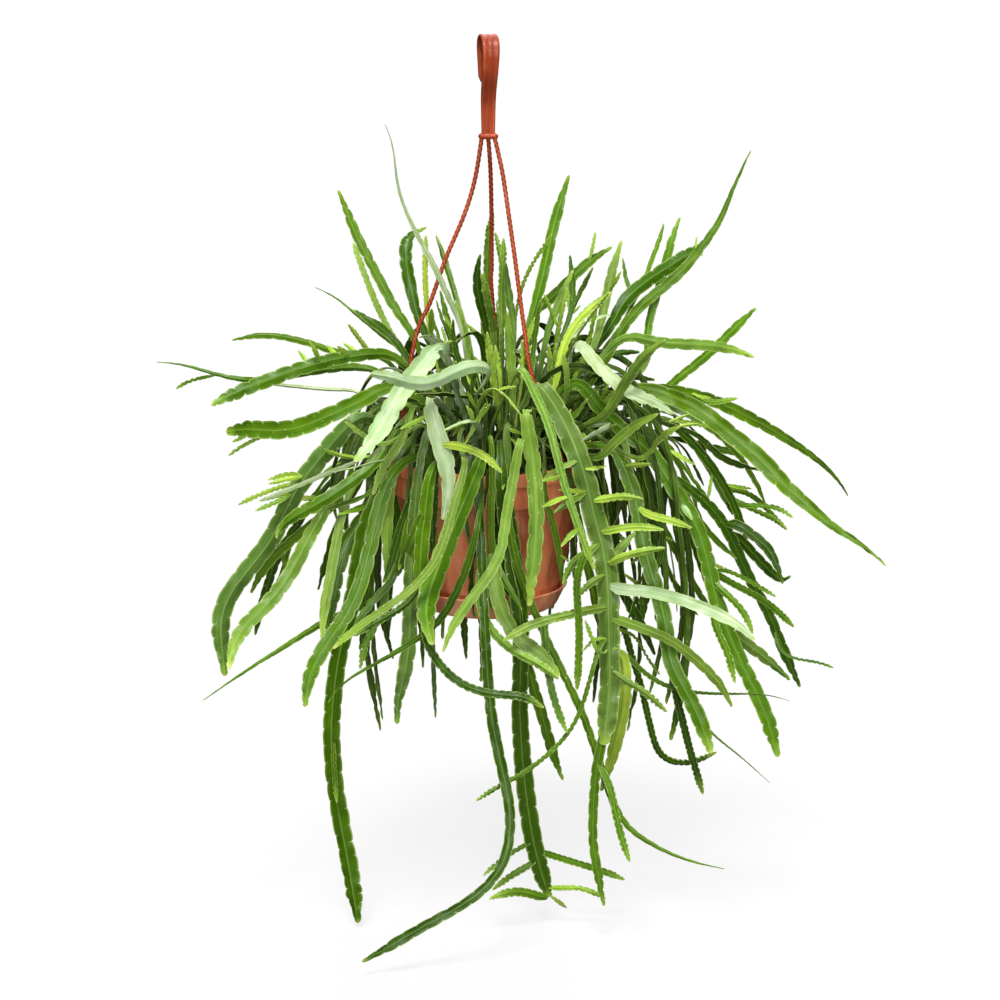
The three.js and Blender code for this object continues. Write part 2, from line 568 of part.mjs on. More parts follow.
// Every stem and shoot as one list, each with its clump, its route and its widths.
function growStems() {
  const heads = {};
  for (const [name, rows] of Object.entries(seenClumps)) {
    const sum = new THREE.Vector3();
    for (const row of rows) sum.add(frontView(row[4][0], row[4][1], row[2]));
    sum.divideScalar(rows.length);
    heads[name] = {
      turn: Math.atan2(sum.y, sum.x),
      rise: Math.atan2(sum.z - soilZ, Math.hypot(sum.x, sum.y)),
    };
  }
  const random = makeRandom(backSeed);
  const backRows = {};
  for (let k = 0; k < backClumps; k++) {
    const name = "stems_back_" + (k + 1);
    const turn = backFrom + ((backTo - backFrom) * (k + 0.5)) / backClumps;
    backRows[name] = [];
    for (let j = 0; j < backStemsEach; j++) {
      backRows[name].push({
        turn: turn + (random() - 0.5) * 14 * deg,
        lift: 12 + 26 * j + 12 * random(),
        reach: 120 + 50 * random() + 22 * (j % 2),
        drop: 60 + 120 * random() - 45 * j,
        width: 9 + 4 * random(),
      });
    }
    heads[name] = { turn, rise: (20 + 34 * random()) * deg };
  }
  const spots = assignSpots(heads);
  const grown = [];
  let order = 0;
  for (const [name, rows] of Object.entries(seenClumps)) {
    for (const [tone, seen, fromDepth, toDepth, route, shoots] of rows) {
      const shown = traced(route, fromDepth, toDepth);
      const way = fromBase(spots[name], shown[0], order);
      const line = smoothRoute([...way, ...shown], routeStep);
      const long = line.length * routeStep;
      const turnedWidth = Math.min(edgeOnWidth, seen * edgeOnFactor);
      const width = long > longStem ? Math.max(seen, turnedWidth) : seen;
      const stem = {
        clump: name,
        tone,
        width,
        face: Math.acos(Math.min(1, seen / width)) * (order % 2 ? 1 : -1),
        twist: (order % 3 === 0 ? 40 : -30) * deg,
        line,
        hiddenLength: routeLength([...way, shown[0]]),
        parent: null,
      };
      grown.push(stem);
      order++;
      for (const [shootTone, shootWidth, forward, shootRoute] of shoots || []) {
        grown.push(growShoot(stem, grown, shootTone, shootWidth, forward, shootRoute, order));
        order++;
      }
    }
  }
  for (const [name, rows] of Object.entries(backRows)) {
    for (const row of rows) {
      const out = new THREE.Vector3(Math.cos(row.turn), Math.sin(row.turn), 0);
      const shown = [
        out.clone().multiplyScalar(basesRadius).setZ(rimZ + row.lift),
        out.clone().multiplyScalar(95).setZ(rimZ + row.lift + 8),
        out.clone().multiplyScalar(row.reach * 0.85).setZ(rimZ + row.lift - 18),
        out.clone().multiplyScalar(row.reach).setZ(rimZ + row.lift - 35 - row.drop * 0.4),
        out.clone().multiplyScalar(row.reach + 8).setZ(rimZ + row.lift - 50 - row.drop),
      ];
      const points = [...fromBase(spots[name], shown[0], order).slice(0, 2), ...shown];
      const line = smoothRoute(points, routeStep);
      grown.push({
        clump: name,
        tone: order % 3 ? "M" : "D",
        width: row.width,
        face: 20 * deg * (order % 2 ? 1 : -1),
        twist: 35 * deg,
        line,
        hiddenLength: routeLength(points),
        parent: null,
      });
      order++;
    }
  }
  return { grown, spots };
}

// A shoot starts inside the stem or shoot of its clump that passes nearest to its first point.
function growShoot(stem, grown, tone, width, forward, route, order) {
  const start = frontView(route[0], route[1], 0);
  const seenStart = seenAt(start);
  let host = stem;
  let hostIndex = 0;
  let nearest = Infinity;
  const family = grown.slice(grown.indexOf(stem));
  for (const other of family) {
    other.line.forEach((point, i) => {
      if (i < 2) return;
      const seen = seenAt(point);
      const away = Math.hypot(seen[0] - seenStart[0], seen[1] - seenStart[1]);
      if (away < nearest) {
        nearest = away;
        host = other;
        hostIndex = i;
      }
    });
  }
  const depth = host.line[hostIndex].y;
  const shown = traced(route, depth, depth + forward);
  shown[0] = host.line[hostIndex].clone();
  const line = smoothRoute(shown, routeStep);
  return {
    clump: stem.clump,
    tone,
    width,
    face: 0,
    twist: (order % 2 ? 25 : -25) * deg,
    line,
    parent: host,
    parentIndex: hostIndex,
  };
}

// Strand routes, from the collar to the rim, as the front shows them.
const strandRoutes = {
  strand_left: { rimAngle: 200 * deg, route: [484,140, 475,179, 464.5,214, 446,258, 430.8,301, 414.5,342] },
  strand_right: { rimAngle: 320 * deg, route: [495,140, 502.5,173, 508.6,214, 515,259, 523.6,324, 533,380] },
  strand_back: { rimAngle: 80 * deg, route: [490,140, 490.5,170, 491.5,214, 491.8,265, 492,294] },
};
const collarZ = frontView(488.5, 136.3, 0).z;

function strandLine({ rimAngle, route }, index) {
  const grip = rimRadius - lipWall / 2;
  const end = new THREE.Vector3(grip * Math.cos(rimAngle), grip * Math.sin(rimAngle), rimZ + gap + 1.3);
  const top = new THREE.Vector3((index - 1) * 4.8, 0, collarZ - collarHeight / 2 - gap);
  const count = route.length / 2;
  const points = [top];
  for (let i = 1; i < count; i++) {
    const seen = frontView(route[2 * i], route[2 * i + 1], 0);
    const share = (top.z - seen.z) / (top.z - end.z);
    points.push(frontView(route[2 * i], route[2 * i + 1], end.y * share));
  }
  points.push(end);
  return points;
}

// Keeping stems apart. What the front shows stays where it is seen, so there stems that would run
// through each other, a strand or the pot move apart along the line of sight. The way from a base
// to the first point that shows moves freely.
const passes = 120;
const crownReach = 26; // how near two points are when they may push each other in the crown

function potRadiusAt(z) {
  if (z > bandFootZ - 3) return rimRadius + 3;
  if (z > saucerTopZ + 4) {
    const share = (bandFootZ - z) / (bandFootZ - bodyFootZ);
    return bodyTopRadius + (bodyFootRadius - bodyTopRadius) * share + 3.5;
  }
  return saucerTopRadius + 3;
}

function placeSamples(grown, strands) {
  const samples = [];
  grown.forEach((stem, stemIndex) => {
    const last = stem.line.length - 1;
    stem.samples = stem.line.map((point, i) => {
      const before = stem.line[Math.max(i - 1, 0)];
      const after = stem.line[Math.min(i + 1, last)];
      const along = after.clone().sub(before).normalize();
      const slope = Math.abs(along.y);
      const across = Math.abs(Math.sin(stem.face)) * Math.sqrt(1 - slope * slope);
      const fromRoot = stem.parent ? 100 : i * routeStep;
      const half = (stem.width / 2) * Math.min(1, baseShare + fromRoot / baseRun);
      return {
        stem: stemIndex,
        i,
        along,
        seen: seenAt(point),
        base: point.clone(),
        at: point.clone(),
        push: new THREE.Vector3(),
        hidden: !stem.parent && fromRoot < stem.hiddenLength,
        free: stem.parent ? Math.min(1, i / 2) : Math.min(1, Math.max(0, (fromRoot - 12) / 12)),
        rooted: !stem.parent && fromRoot < rootedReach,
        half,
        round: half * 0.9 + 0.7,
        deep: half * Math.max(across, slope * 0.5) + 1 + (routeStep / 2) * slope,
      };
    });
    samples.push(...stem.samples);
  });
  for (const line of strands) {
    const points = smoothRoute(line, routeStep / 2);
    points.forEach((point, i) => {
      const next = points[Math.min(i + 1, points.length - 1)];
      const along = next.clone().sub(points[Math.max(i - 1, 0)]).normalize();
      samples.push({
        stem: -1,
        i,
        along,
        seen: seenAt(point),
        base: point.clone(),
        at: point.clone(),
        push: new THREE.Vector3(),
        hidden: false,
        free: 0,
        rooted: false,
        half: strandRadius + 1,
        round: strandRadius + 2.2,
        deep: strandRadius + 2,
      });
    });
  }
  return samples;
}

// Pairs of points that may meet: seen near each other from the front, or near in the crown.
function findPairs(samples, grown) {
  const seenPairs = [];
  const crownPairs = [];
  samples.forEach((a, index) => {
    for (let other = index + 1; other < samples.length; other++) {
      const b = samples[other];
      if (a.stem === b.stem) continue;
      const away = Math.hypot(a.seen[0] - b.seen[0], a.seen[1] - b.seen[1]);
      if (away > crownReach) continue;
      const stemA = grown[a.stem];
      const stemB = grown[b.stem];
      if (stemA && stemB) {
        if (stemA.clump === stemB.clump && (a.rooted || b.rooted)) continue;
        if (stemA.parent === stemB && a.i < 3) continue;
        if (stemB.parent === stemA && b.i < 3) continue;
      }
      if (a.hidden || b.hidden) {
        if (a.base.distanceTo(b.base) > crownReach) continue;
        crownPairs.push([a, b], [b, a]);
        continue;
      }
      const span = a.half + b.half + clearance + routeStep * 0.3;
      if (away >= span) continue;
      const need = (a.deep + b.deep + clearance) * Math.sqrt(1 - (away / span) ** 2);
      seenPairs.push([a, b, need]);
    }
  });
  return { seenPairs, crownPairs };
}

function pushSeen(seenPairs) {
  for (const [a, b, need] of seenPairs) {
    const apart = a.at.y - b.at.y;
    const short = need - Math.abs(apart);
    const total = a.free + b.free;
    if (short <= 0 || total <= 0) continue;
    const side = apart >= 0 ? 1 : -1;
    a.push.y += (side * short * a.free) / total;
    b.push.y -= (side * short * b.free) / total;
  }
}

// In the crown a point is pushed off the line that its neighbour's stem follows.
function pushCrown(crownPairs) {
  const away = new THREE.Vector3();
  for (const [a, b] of crownPairs) {
    away.subVectors(a.at, b.at);
    const beside = away.dot(b.along);
    if (Math.abs(beside) > routeStep * 0.6) continue;
    away.addScaledVector(b.along, -beside);
    let distance = away.length();
    const short = a.round + b.round + clearance - distance;
    const total = a.free + b.free;
    if (short <= 0 || total <= 0) continue;
    if (distance < 0.01) {
      away.crossVectors(a.along, b.along);
      distance = Math.max(away.length(), 0.01);
    }
    away.multiplyScalar((0.5 * short) / distance / total);
    a.push.addScaledVector(away, a.free);
    b.push.addScaledVector(away, -b.free);
  }
}

function keepOffPot(sample) {
  const { at, half, deep, hidden, free, base } = sample;
  if (free < 0.3) return;
  const radius = Math.hypot(at.x, at.y);
  if (hidden) {
    const overSoil = soilTopAt(Math.min(radius, soilTopRadius)) + 3 + half;
    const floor = radius < rimRadius - 6 ? overSoil : rimZ + 4 + 0.6 * half;
    if (radius < rimRadius + 4 && at.z < floor) at.z = floor;
    return;
  }
  if (at.z > rimZ + 4 || at.z < saucerFootZ - 3) return;
  const keep = potRadiusAt(at.z) + deep * 0.7;
  if (Math.abs(at.x) >= keep) return;
  const edge = Math.sqrt(keep * keep - at.x * at.x);
  if (Math.abs(at.y) >= edge) return;
  slideTo(sample, at.y + 0.8 * ((base.y >= 0 ? edge : -edge) - at.y));
}

// Moves a point along the line of sight to another depth.
function slideTo(sample, y) {
  const scale = (y - viewEye.y) / (sample.at.y - viewEye.y);
  sample.at.sub(viewEye).multiplyScalar(scale).add(viewEye);
}

function keepApart(grown, strands) {
  const samples = placeSamples(grown, strands);
  const { seenPairs, crownPairs } = findPairs(samples, grown);
  for (let pass = 0; pass < passes; pass++) {
    for (const sample of samples) sample.push.set(0, 0, 0);
    pushSeen(seenPairs);
    pushCrown(crownPairs);
    for (const sample of samples) {
      if (sample.stem < 0) continue;
      const most = routeStep * 0.4;
      sample.push.clampLength(0, most);
      if (sample.hidden) {
        sample.push.addScaledVector(sample.along, -sample.push.dot(sample.along));
        sample.at.addScaledVector(sample.push, sample.free);
      } else {
        slideTo(sample, sample.at.y + sample.push.y * sample.free);
      }
      keepOffPot(sample);
    }
    for (const stem of grown) {
      const row = stem.samples;
      const last = row.length - 1;
      const moves = row.map((sample) => sample.at.clone().sub(sample.base));
      for (let i = 1; i <= last; i++) {
        const next = i < last ? moves[i + 1] : moves[i];
        const smooth = moves[i].clone().multiplyScalar(0.5);
        smooth.addScaledVector(moves[i - 1], 0.25).addScaledVector(next, 0.25);
        smooth.multiplyScalar(Math.min(1, row[i].free * 2));
        if (row[i].hidden) row[i].at.copy(row[i].base).add(smooth);
        else {
          row[i].at.copy(row[i].base);
          slideTo(row[i], row[i].base.y + smooth.y);
        }
      }
      row[0].at.copy(row[0].base);
      if (stem.parent) slideTo(row[0], stem.parent.samples[stem.parentIndex].at.y);
    }
  }
  for (const stem of grown) stem.line = stem.samples.map((sample) => sample.at);
}

// Frames along a route that turn as little as they can, faced to the front by the stem's angle at
// its middle, with its slow twist.
function frameRoute(line, face, twist) {
  const last = line.length - 1;
  const frames = line.map((point, i) => ({
    at: point,
    along: line[Math.min(i + 1, last)].clone().sub(line[Math.max(i - 1, 0)]).normalize(),
  }));
  const start = new THREE.Vector3(1, 0, 0);
  start.addScaledVector(frames[0].along, -start.dot(frames[0].along)).normalize();
  frames[0].side = start;
  for (let i = 1; i <= last; i++) {
    const step = frames[i].at.clone().sub(frames[i - 1].at);
    const c1 = step.dot(step);
    const before = frames[i - 1];
    const side = before.side.clone().addScaledVector(step, (-2 / c1) * step.dot(before.side));
    const along = before.along.clone().addScaledVector(step, (-2 / c1) * step.dot(before.along));
    const turn = frames[i].along.clone().sub(along);
    const c2 = Math.max(turn.dot(turn), 1e-12);
    side.addScaledVector(turn, (-2 / c2) * turn.dot(side));
    frames[i].side = side.addScaledVector(frames[i].along, -side.dot(frames[i].along)).normalize();
  }
  const middle = frames[Math.round(last * 0.6)];
  const sight = middle.at.clone().sub(viewEye).normalize();
  const wanted = new THREE.Vector3().crossVectors(middle.along, sight);
  let offset = 0;
  if (wanted.length() > 0.05) {
    wanted.normalize();
    const up = new THREE.Vector3().crossVectors(middle.along, middle.side);
    offset = Math.atan2(wanted.dot(up), wanted.dot(middle.side));
  }
  frames.forEach((frame, i) => {
    const angle = offset + face + twist * (i / last - 0.6);
    const up = new THREE.Vector3().crossVectors(frame.along, frame.side);
    frame.across = frame.side.clone().multiplyScalar(Math.cos(angle)).addScaledVector(up, Math.sin(angle));
    frame.out = new THREE.Vector3().crossVectors(frame.along, frame.across);
  });
  return frames;
}

// Share of a stem's full width at a place along it: narrow at the base, full, then a blunt taper.
function widthShare(fromRoot, toTip, rooted) {
  const base = rooted ? baseShare + fromRoot / baseRun : 0.5 + fromRoot / 30;
  const tip = tipShare + toTip / tipRun;
  return Math.min(1, base) * Math.min(1, tip);
}

function solidOf(positions, triangles) {
  return new wasm.Manifold(
    new wasm.Mesh({
      numProp: 3,
      vertProperties: new Float32Array(positions),
      triVerts: new Uint32Array(triangles),
    }),
  );
}

// Rings of corners joined into one closed solid, each ring listed turning about the way along.
function sweptSolid(rings) {
  const sides = rings[0].length;
  const last = rings.length - 1;
  const positions = [];
  const triangles = [];
  for (const corner of rings.flat()) positions.push(corner.x, corner.y, corner.z);
  for (let i = 0; i < last; i++) {
    for (let j = 0; j < sides; j++) {
      const a = sides * i + j;
      const b = sides * i + ((j + 1) % sides);
      triangles.push(a, b, b + sides, a, b + sides, a + sides);
    }
  }
  for (let j = 1; j < sides - 1; j++) {
    triangles.push(0, j + 1, j);
    triangles.push(sides * last, sides * last + j, sides * last + j + 1);
  }
  return solidOf(positions, triangles);
}

// The nearest place to a point on a broken line.
function nearestOn(line, point) {
  let best = line[0];
  for (let i = 1; i < line.length; i++) {
    const span = new THREE.Line3(line[i - 1], line[i]);
    const closest = span.closestPointToPoint(point, true, new THREE.Vector3());
    if (closest.distanceTo(point) < best.distanceTo(point)) best = closest;
  }
  return best;
}

// The line of rings of a stem's blade. A shoot's begins a little behind its parent's middle.
function bladeLine(stem) {
  if (!stem.parent) return smoothRoute(stem.line, bladeStep);
  const points = stem.line.map((point) => point.clone());
  points[0] = nearestOn(stem.parent.blade, points[0]);
  const back = points[0].clone().sub(points[1]).normalize();
  points[0] = points[0].clone().addScaledVector(back, shootRoot);
  return smoothRoute(points, bladeStep);
}

// One stem or shoot as a closed blade: two toothed edges and a keel behind.
function bladeSolid(stem) {
  const line = bladeLine(stem);
  stem.blade = line;
  const frames = frameRoute(line, stem.face, stem.twist);
  const last = frames.length - 1;
  const total = last * line[0].distanceTo(line[1]);
  const rings = frames.map((frame, i) => {
    const fromRoot = (total * i) / last;
    const before = frames[Math.max(i - 1, 0)];
    const bend = frame.along.distanceTo(before.along) / Math.max(frame.at.distanceTo(before.at), 1);
    const half = Math.min(
      (stem.width / 2) * widthShare(fromRoot, total - fromRoot, !stem.parent),
      0.6 / Math.max(bend, 1e-6),
    );
    const sturdy = fromRoot < 20 && !stem.parent ? 1.3 : 1;
    const thick = Math.max(i ? thinnestBlade : 2, stem.width * bladeThickness * sturdy);
    const left = i > 1 && i % 2 ? 1 - toothDepth : 1;
    const right = i > 1 && i % 2 === 0 ? 1 - toothDepth : 1;
    const corner = (across, out) =>
      frame.at.clone().addScaledVector(frame.across, across).addScaledVector(frame.out, out);
    return [corner(-half * left, thick / 3), corner(0, (-2 * thick) / 3), corner(half * right, thick / 3)];
  });
  return sweptSolid(rings);
}

// A closed three.js geometry as a solid.
function solidFrom(geometry) {
  const bare = geometry.clone();
  bare.deleteAttribute("normal");
  bare.deleteAttribute("uv");
  const merged = mergeVertices(bare, 1e-4);
  return solidOf(merged.attributes.position.array, merged.index.array);
}

function geometryOf(solid) {
  const mesh = solid.getMesh();
  const geometry = new THREE.BufferGeometry();
  geometry.setAttribute("position", new THREE.BufferAttribute(new Float32Array(mesh.vertProperties), 3));
  geometry.setIndex(new THREE.BufferAttribute(new Uint32Array(mesh.triVerts), 1));
  geometry.computeVertexNormals();
  return geometry;
}

function prism(sides, radius, foot, top, x, y) {
  const geometry = new THREE.CylinderGeometry(radius, radius, top - foot, sides);
  geometry.rotateX(90 * deg);
  geometry.translate(x, y, (top + foot) / 2);
  return solidFrom(geometry);
}

// A lathe of [radius, z] points, listed so that the faces point out.
function turned(profile, sides = roundSides) {
  const points = profile.map(([radius, z]) => new THREE.Vector2(radius, z));
  const geometry = new THREE.LatheGeometry(points, sides);
  geometry.rotateX(90 * deg);
  const solid = solidFrom(geometry);
  if (solid.volume() > 0) return solid;
  const back = new THREE.LatheGeometry(points.reverse(), sides);
  back.rotateX(90 * deg);
  return solidFrom(back);
}

// Pot
function makePot() {
  const lipFootZ = rimZ - lipHeight;
  const bodySlope = (bodyTopRadius - bodyFootRadius) / (bandFootZ - bodyFootZ);
  const innerAt = (z) => bodyTopRadius - potWall - bodySlope * (bandFootZ - z);
  const floorZ = bodyFootZ + potWall;
  let pot = turned([
    [0, floorZ - 3.4],
    [footRadius - potWall, floorZ - 3.4],
    [footRadius - potWall, potFootZ],
    [footRadius, potFootZ],
    [footRadius, bodyFootZ],
    [bodyFootRadius, bodyFootZ],
    [bodyTopRadius, bandFootZ],
    [bandRadius, bandFootZ + 1],
    [bandRadius, lipFootZ],
    [rimRadius, lipFootZ],
    [rimRadius, rimZ - 0.8],
    [rimRadius - 0.8, rimZ],
    [rimRadius - lipWall, rimZ],
    [rimRadius - lipWall, lipFootZ],
    [innerAt(bandFootZ), bandFootZ],
    [innerAt(floorZ), floorZ],
    [0, floorZ],
  ]);
  for (let i = 0; i < 4; i++) {
    const angle = (i + 0.5) * 90 * deg;
    pot = pot.subtract(
      prism(
        6,
        drainHoleRadius,
        floorZ - 6,
        floorZ + 2,
        drainHoleRing * Math.cos(angle),
        drainHoleRing * Math.sin(angle),
      ),
    );
  }
  return pot;
}

function makeSaucer() {
  return turned([
    [0, saucerFootZ],
    [saucerFootRadius - 1.5, saucerFootZ],
    [saucerFootRadius + 1.8, saucerFootZ + 1.5],
    [saucerTopRadius - 1, saucerTopZ - 1.4],
    [saucerTopRadius, saucerTopZ - 1],
    [saucerTopRadius, saucerTopZ],
    [saucerTopRadius - saucerWall, saucerTopZ],
    [saucerFootRadius + 0.4, saucerFootZ + saucerWall + 0.4],
    [saucerFootRadius - 1.5, saucerFootZ + saucerWall],
    [0, saucerFootZ + saucerWall],
  ]);
}

function makeSoil(spots) {
  const bodySlope = (bodyTopRadius - bodyFootRadius) / (bandFootZ - bodyFootZ);
  const wallAt = (z) => bodyTopRadius - potWall - gap - bodySlope * (bandFootZ - z);
  const floorZ = bodyFootZ + potWall + gap;
  let soil = turned([
    [0, floorZ],
    [wallAt(floorZ), floorZ],
    [wallAt(bandFootZ), bandFootZ],
    [soilDomeRadius, soilZ - 4],
    [soilTopRadius, soilTopAt(soilTopRadius)],
    [46, soilTopAt(46)],
    [0, soilTopAt(0)],
  ], roundSides / 2);
  for (const spot of Object.values(spots)) {
    const top = soilTopAt(spot.length());
    soil = soil.subtract(
      prism(baseSides, baseRadius + gap + 0.1, top - baseDepth - gap, top + 9, spot.x, spot.y),
    );
  }
  return soil;
}

// Hook: one flat strap bent over into a crook whose crown has a flat seat, with the collar at its
// foot. The loop runs from the free end behind, over the crown, and down in front to the collar.
function makeHook() {
  const middle = hookInnerRadius + strapThickness / 2;
  const centreZ = strapThickness / 2 - middle * Math.cos((90 * deg) / hookFacets);
  const path = [];
  path.push(new THREE.Vector2(middle, centreZ - hookFreeLeg));
  for (let i = 0; i <= hookFacets; i++) {
    const angle = (180 * deg * i) / hookFacets;
    path.push(new THREE.Vector2(middle * Math.cos(angle), centreZ + middle * Math.sin(angle)));
  }
  path.push(new THREE.Vector2(-middle, centreZ - 4));
  path.push(new THREE.Vector2(-middle * 0.8, centreZ - 16));
  path.push(new THREE.Vector2(-middle * 0.25, centreZ - 30));
  path.push(new THREE.Vector2(0, centreZ - 42));
  path.push(new THREE.Vector2(0, collarZ));
  const last = path.length - 1;
  const rings = path.map((point, i) => {
    const before = path[Math.max(i - 1, 0)];
    const after = path[Math.min(i + 1, last)];
    const inWay = point.clone().sub(before).normalize();
    const outWay = after.clone().sub(point).normalize();
    const way = inWay.clone().add(outWay).normalize();
    const mitre = 1 / Math.max(way.dot(i ? inWay : outWay), 0.5);
    const normal = new THREE.Vector2(-way.y, way.x).multiplyScalar((strapThickness / 2) * mitre);
    const down = Math.min(Math.max(-point.y / -collarZ, 0), 1);
    const half = (strapWidthTop + (strapWidthFoot - strapWidthTop) * down) / 2;
    const turn = hookTurn * (1 - down);
    const corner = (side, edge) => {
      const x = side * half;
      const y = point.x + edge * normal.x;
      return new THREE.Vector3(
        x * Math.cos(turn) - y * Math.sin(turn),
        x * Math.sin(turn) + y * Math.cos(turn),
        point.y + edge * normal.y,
      );
    };
    return [corner(-1, 1), corner(-1, -1), corner(1, -1), corner(1, 1)];
  });
  let strap = sweptSolid(rings);
  if (strap.volume() < 0) strap = sweptSolid(rings.map((ring) => ring.reverse()));
  const bar = new THREE.CapsuleGeometry(collarHeight / 2, collarWidth - collarHeight, 3, 10);
  bar.rotateZ(90 * deg);
  bar.translate(0, 0, collarZ);
  return strap.add(solidFrom(bar));
}

// Strand: a three-lobed moulded twist, with a clip that grips the pot's rim.
function makeStrand(points, rimAngle) {
  const line = smoothRoute(points, strandPitch / 6);
  const frames = frameRoute(line, 0, 0);
  const rings = frames.map((frame, i) =>
    [0, 1, 2].map((lobe) => {
      const angle = (lobe * 120 - (i % 6) * 60) * deg;
      return frame.at
        .clone()
        .addScaledVector(frame.across, strandRadius * Math.cos(angle))
        .addScaledVector(frame.out, strandRadius * Math.sin(angle));
    }),
  );
  const strand = sweptSolid(rings);
  const flatShare = Math.cos(Math.PI / roundSides);
  const inside = (rimRadius - lipWall) * flatShare - gap - 0.2;
  const outside = rimRadius + gap + 0.4;
  const leg = 1.5;
  const clipTop = rimZ + gap + 2.4;
  const clipOutline = new THREE.Shape([
    new THREE.Vector2(inside - leg, clipTop),
    new THREE.Vector2(inside - leg, rimZ - 4.5),
    new THREE.Vector2(inside, rimZ - 4.5),
    new THREE.Vector2(inside, rimZ + gap),
    new THREE.Vector2(outside, rimZ + gap),
    new THREE.Vector2(outside, rimZ - lipHeight - 2),
    new THREE.Vector2(outside + leg, rimZ - lipHeight - 2),
    new THREE.Vector2(outside + leg, clipTop),
  ]);
  const clip = new THREE.ExtrudeGeometry(clipOutline, {
    depth: rimClipWidth,
    bevelEnabled: false,
  });
  clip.translate(0, 0, -rimClipWidth / 2);
  clip.rotateX(90 * deg);
  clip.rotateZ(rimAngle);
  return strand.add(solidFrom(clip));
}

// Assembly
const plant = new THREE.Group();

function addPiece(name, solid, color, roughness) {
  const material = new THREE.MeshStandardMaterial({ color, roughness, metalness: 0 });
  const mesh = new THREE.Mesh(geometryOf(solid), material);
  mesh.name = name;
  plant.add(mesh);
}

const strandNames = Object.keys(strandRoutes);
const strandLines = strandNames.map((name) => {
  const index = { strand_left: 0, strand_back: 1, strand_right: 2 }[name];
  return strandLine(strandRoutes[name], index);
});

const { grown, spots } = growStems();
keepApart(grown, strandLines);

addPiece("pot", makePot(), terracotta, 0.45);
addPiece("saucer", makeSaucer(), terracotta, 0.45);
addPiece("soil", makeSoil(spots), soilBrown, 0.95);
addPiece("hanger_hook", makeHook(), hangerRed, 0.35);
strandNames.forEach((name, i) => {
  addPiece(name, makeStrand(strandLines[i], strandRoutes[name].rimAngle), hangerRed, 0.35);
});

const clumps = new Map();
for (const [name, spot] of Object.entries(spots)) {
  const top = soilTopAt(spot.length());
  let solid = prism(baseSides, baseRadius, top - baseDepth, top + baseRise, spot.x, spot.y);
  for (const stem of grown.filter((one) => one.clump === name && !tiny(one))) {
    solid = solid.add(bladeSolid(stem));
  }
  clumps.set(name, solid);
}

// Clumps whose stems still touch where they leave the pot have grown together: they are one piece,
// named after the first.
const touching = 0.002;
function fuseTouching() {
  const names = [...clumps.keys()];
  for (const name of names) {
    for (const other of names) {
      if (name === other || !clumps.has(name) || !clumps.has(other)) continue;
      if (clumps.get(name).intersect(clumps.get(other)).volume() <= touching) continue;
      clumps.set(name, clumps.get(name).add(clumps.get(other)));
      clumps.delete(other);
    }
  }
  return clumps.size < names.length;
}
while (fuseTouching());
for (const [name, solid] of clumps) {
  const stem = grown.find((one) => one.clump === name);
  addPiece(name, solid, palette[stem.tone], 0.5);
}

export default plant;
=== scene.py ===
# %% [markdown]
# # A hanging pot of Lepismium bolivianum
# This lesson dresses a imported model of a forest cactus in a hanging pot. The plant is a mop of flat
# strap stems with notched edges. They rise from the soil, arch over the rim and hang down well below
# the saucer. A red-brown plastic hanger carries the pot: a flat crook on top, and three twisted
# strands that clip on the rim. All lengths are in millimetres until a mesh is made.
#
# We go from the whole to the parts: the view, the routes of the stems, how they keep clear of each
# other, the blades, the materials, then the pot with its saucer and soil, the hanger and the light.

# %% Imports and the frame
import json
import math

import bmesh
import bpy
import numpy as np
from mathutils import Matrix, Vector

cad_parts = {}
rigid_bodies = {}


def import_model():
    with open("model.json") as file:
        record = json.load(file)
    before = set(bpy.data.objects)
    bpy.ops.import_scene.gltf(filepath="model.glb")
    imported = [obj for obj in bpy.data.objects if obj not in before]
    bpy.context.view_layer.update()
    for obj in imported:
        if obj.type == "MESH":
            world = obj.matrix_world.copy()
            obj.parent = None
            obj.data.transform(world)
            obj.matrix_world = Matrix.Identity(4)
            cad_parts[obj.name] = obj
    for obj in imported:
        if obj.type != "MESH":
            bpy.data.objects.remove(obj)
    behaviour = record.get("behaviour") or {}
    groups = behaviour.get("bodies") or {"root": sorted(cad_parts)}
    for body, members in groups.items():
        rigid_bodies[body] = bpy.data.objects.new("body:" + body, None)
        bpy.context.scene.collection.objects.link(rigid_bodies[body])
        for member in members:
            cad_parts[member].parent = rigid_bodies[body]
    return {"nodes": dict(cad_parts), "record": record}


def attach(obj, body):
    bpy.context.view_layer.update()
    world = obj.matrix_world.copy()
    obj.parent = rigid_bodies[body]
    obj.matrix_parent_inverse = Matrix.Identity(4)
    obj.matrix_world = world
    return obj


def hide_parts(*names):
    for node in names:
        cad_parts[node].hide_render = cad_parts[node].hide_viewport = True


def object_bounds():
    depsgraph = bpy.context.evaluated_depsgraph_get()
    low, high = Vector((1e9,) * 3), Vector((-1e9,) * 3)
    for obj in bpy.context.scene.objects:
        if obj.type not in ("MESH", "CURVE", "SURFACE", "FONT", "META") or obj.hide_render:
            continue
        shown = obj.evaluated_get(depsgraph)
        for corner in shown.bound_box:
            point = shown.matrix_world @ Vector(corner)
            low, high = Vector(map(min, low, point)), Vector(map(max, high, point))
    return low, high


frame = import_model()
cad_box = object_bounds()
NODES = set(frame["nodes"])
MM = 0.001
DEG = math.pi / 180
print("nodes in the frame:", len(NODES))
print("height of the packed model in mm:", round((cad_box[1].z - cad_box[0].z) / MM))

# %% [markdown]
# ## The camera
# The camera comes first, because the routes of the stems are given as it sees them. It could be
# placed by eye in the viewport. Here its place is worked out from a target, a distance and an angle,
# because the same numbers then turn a place in the picture into a place in the scene. It looks down
# on the plant by 13.5 degrees from 2.6 m away.

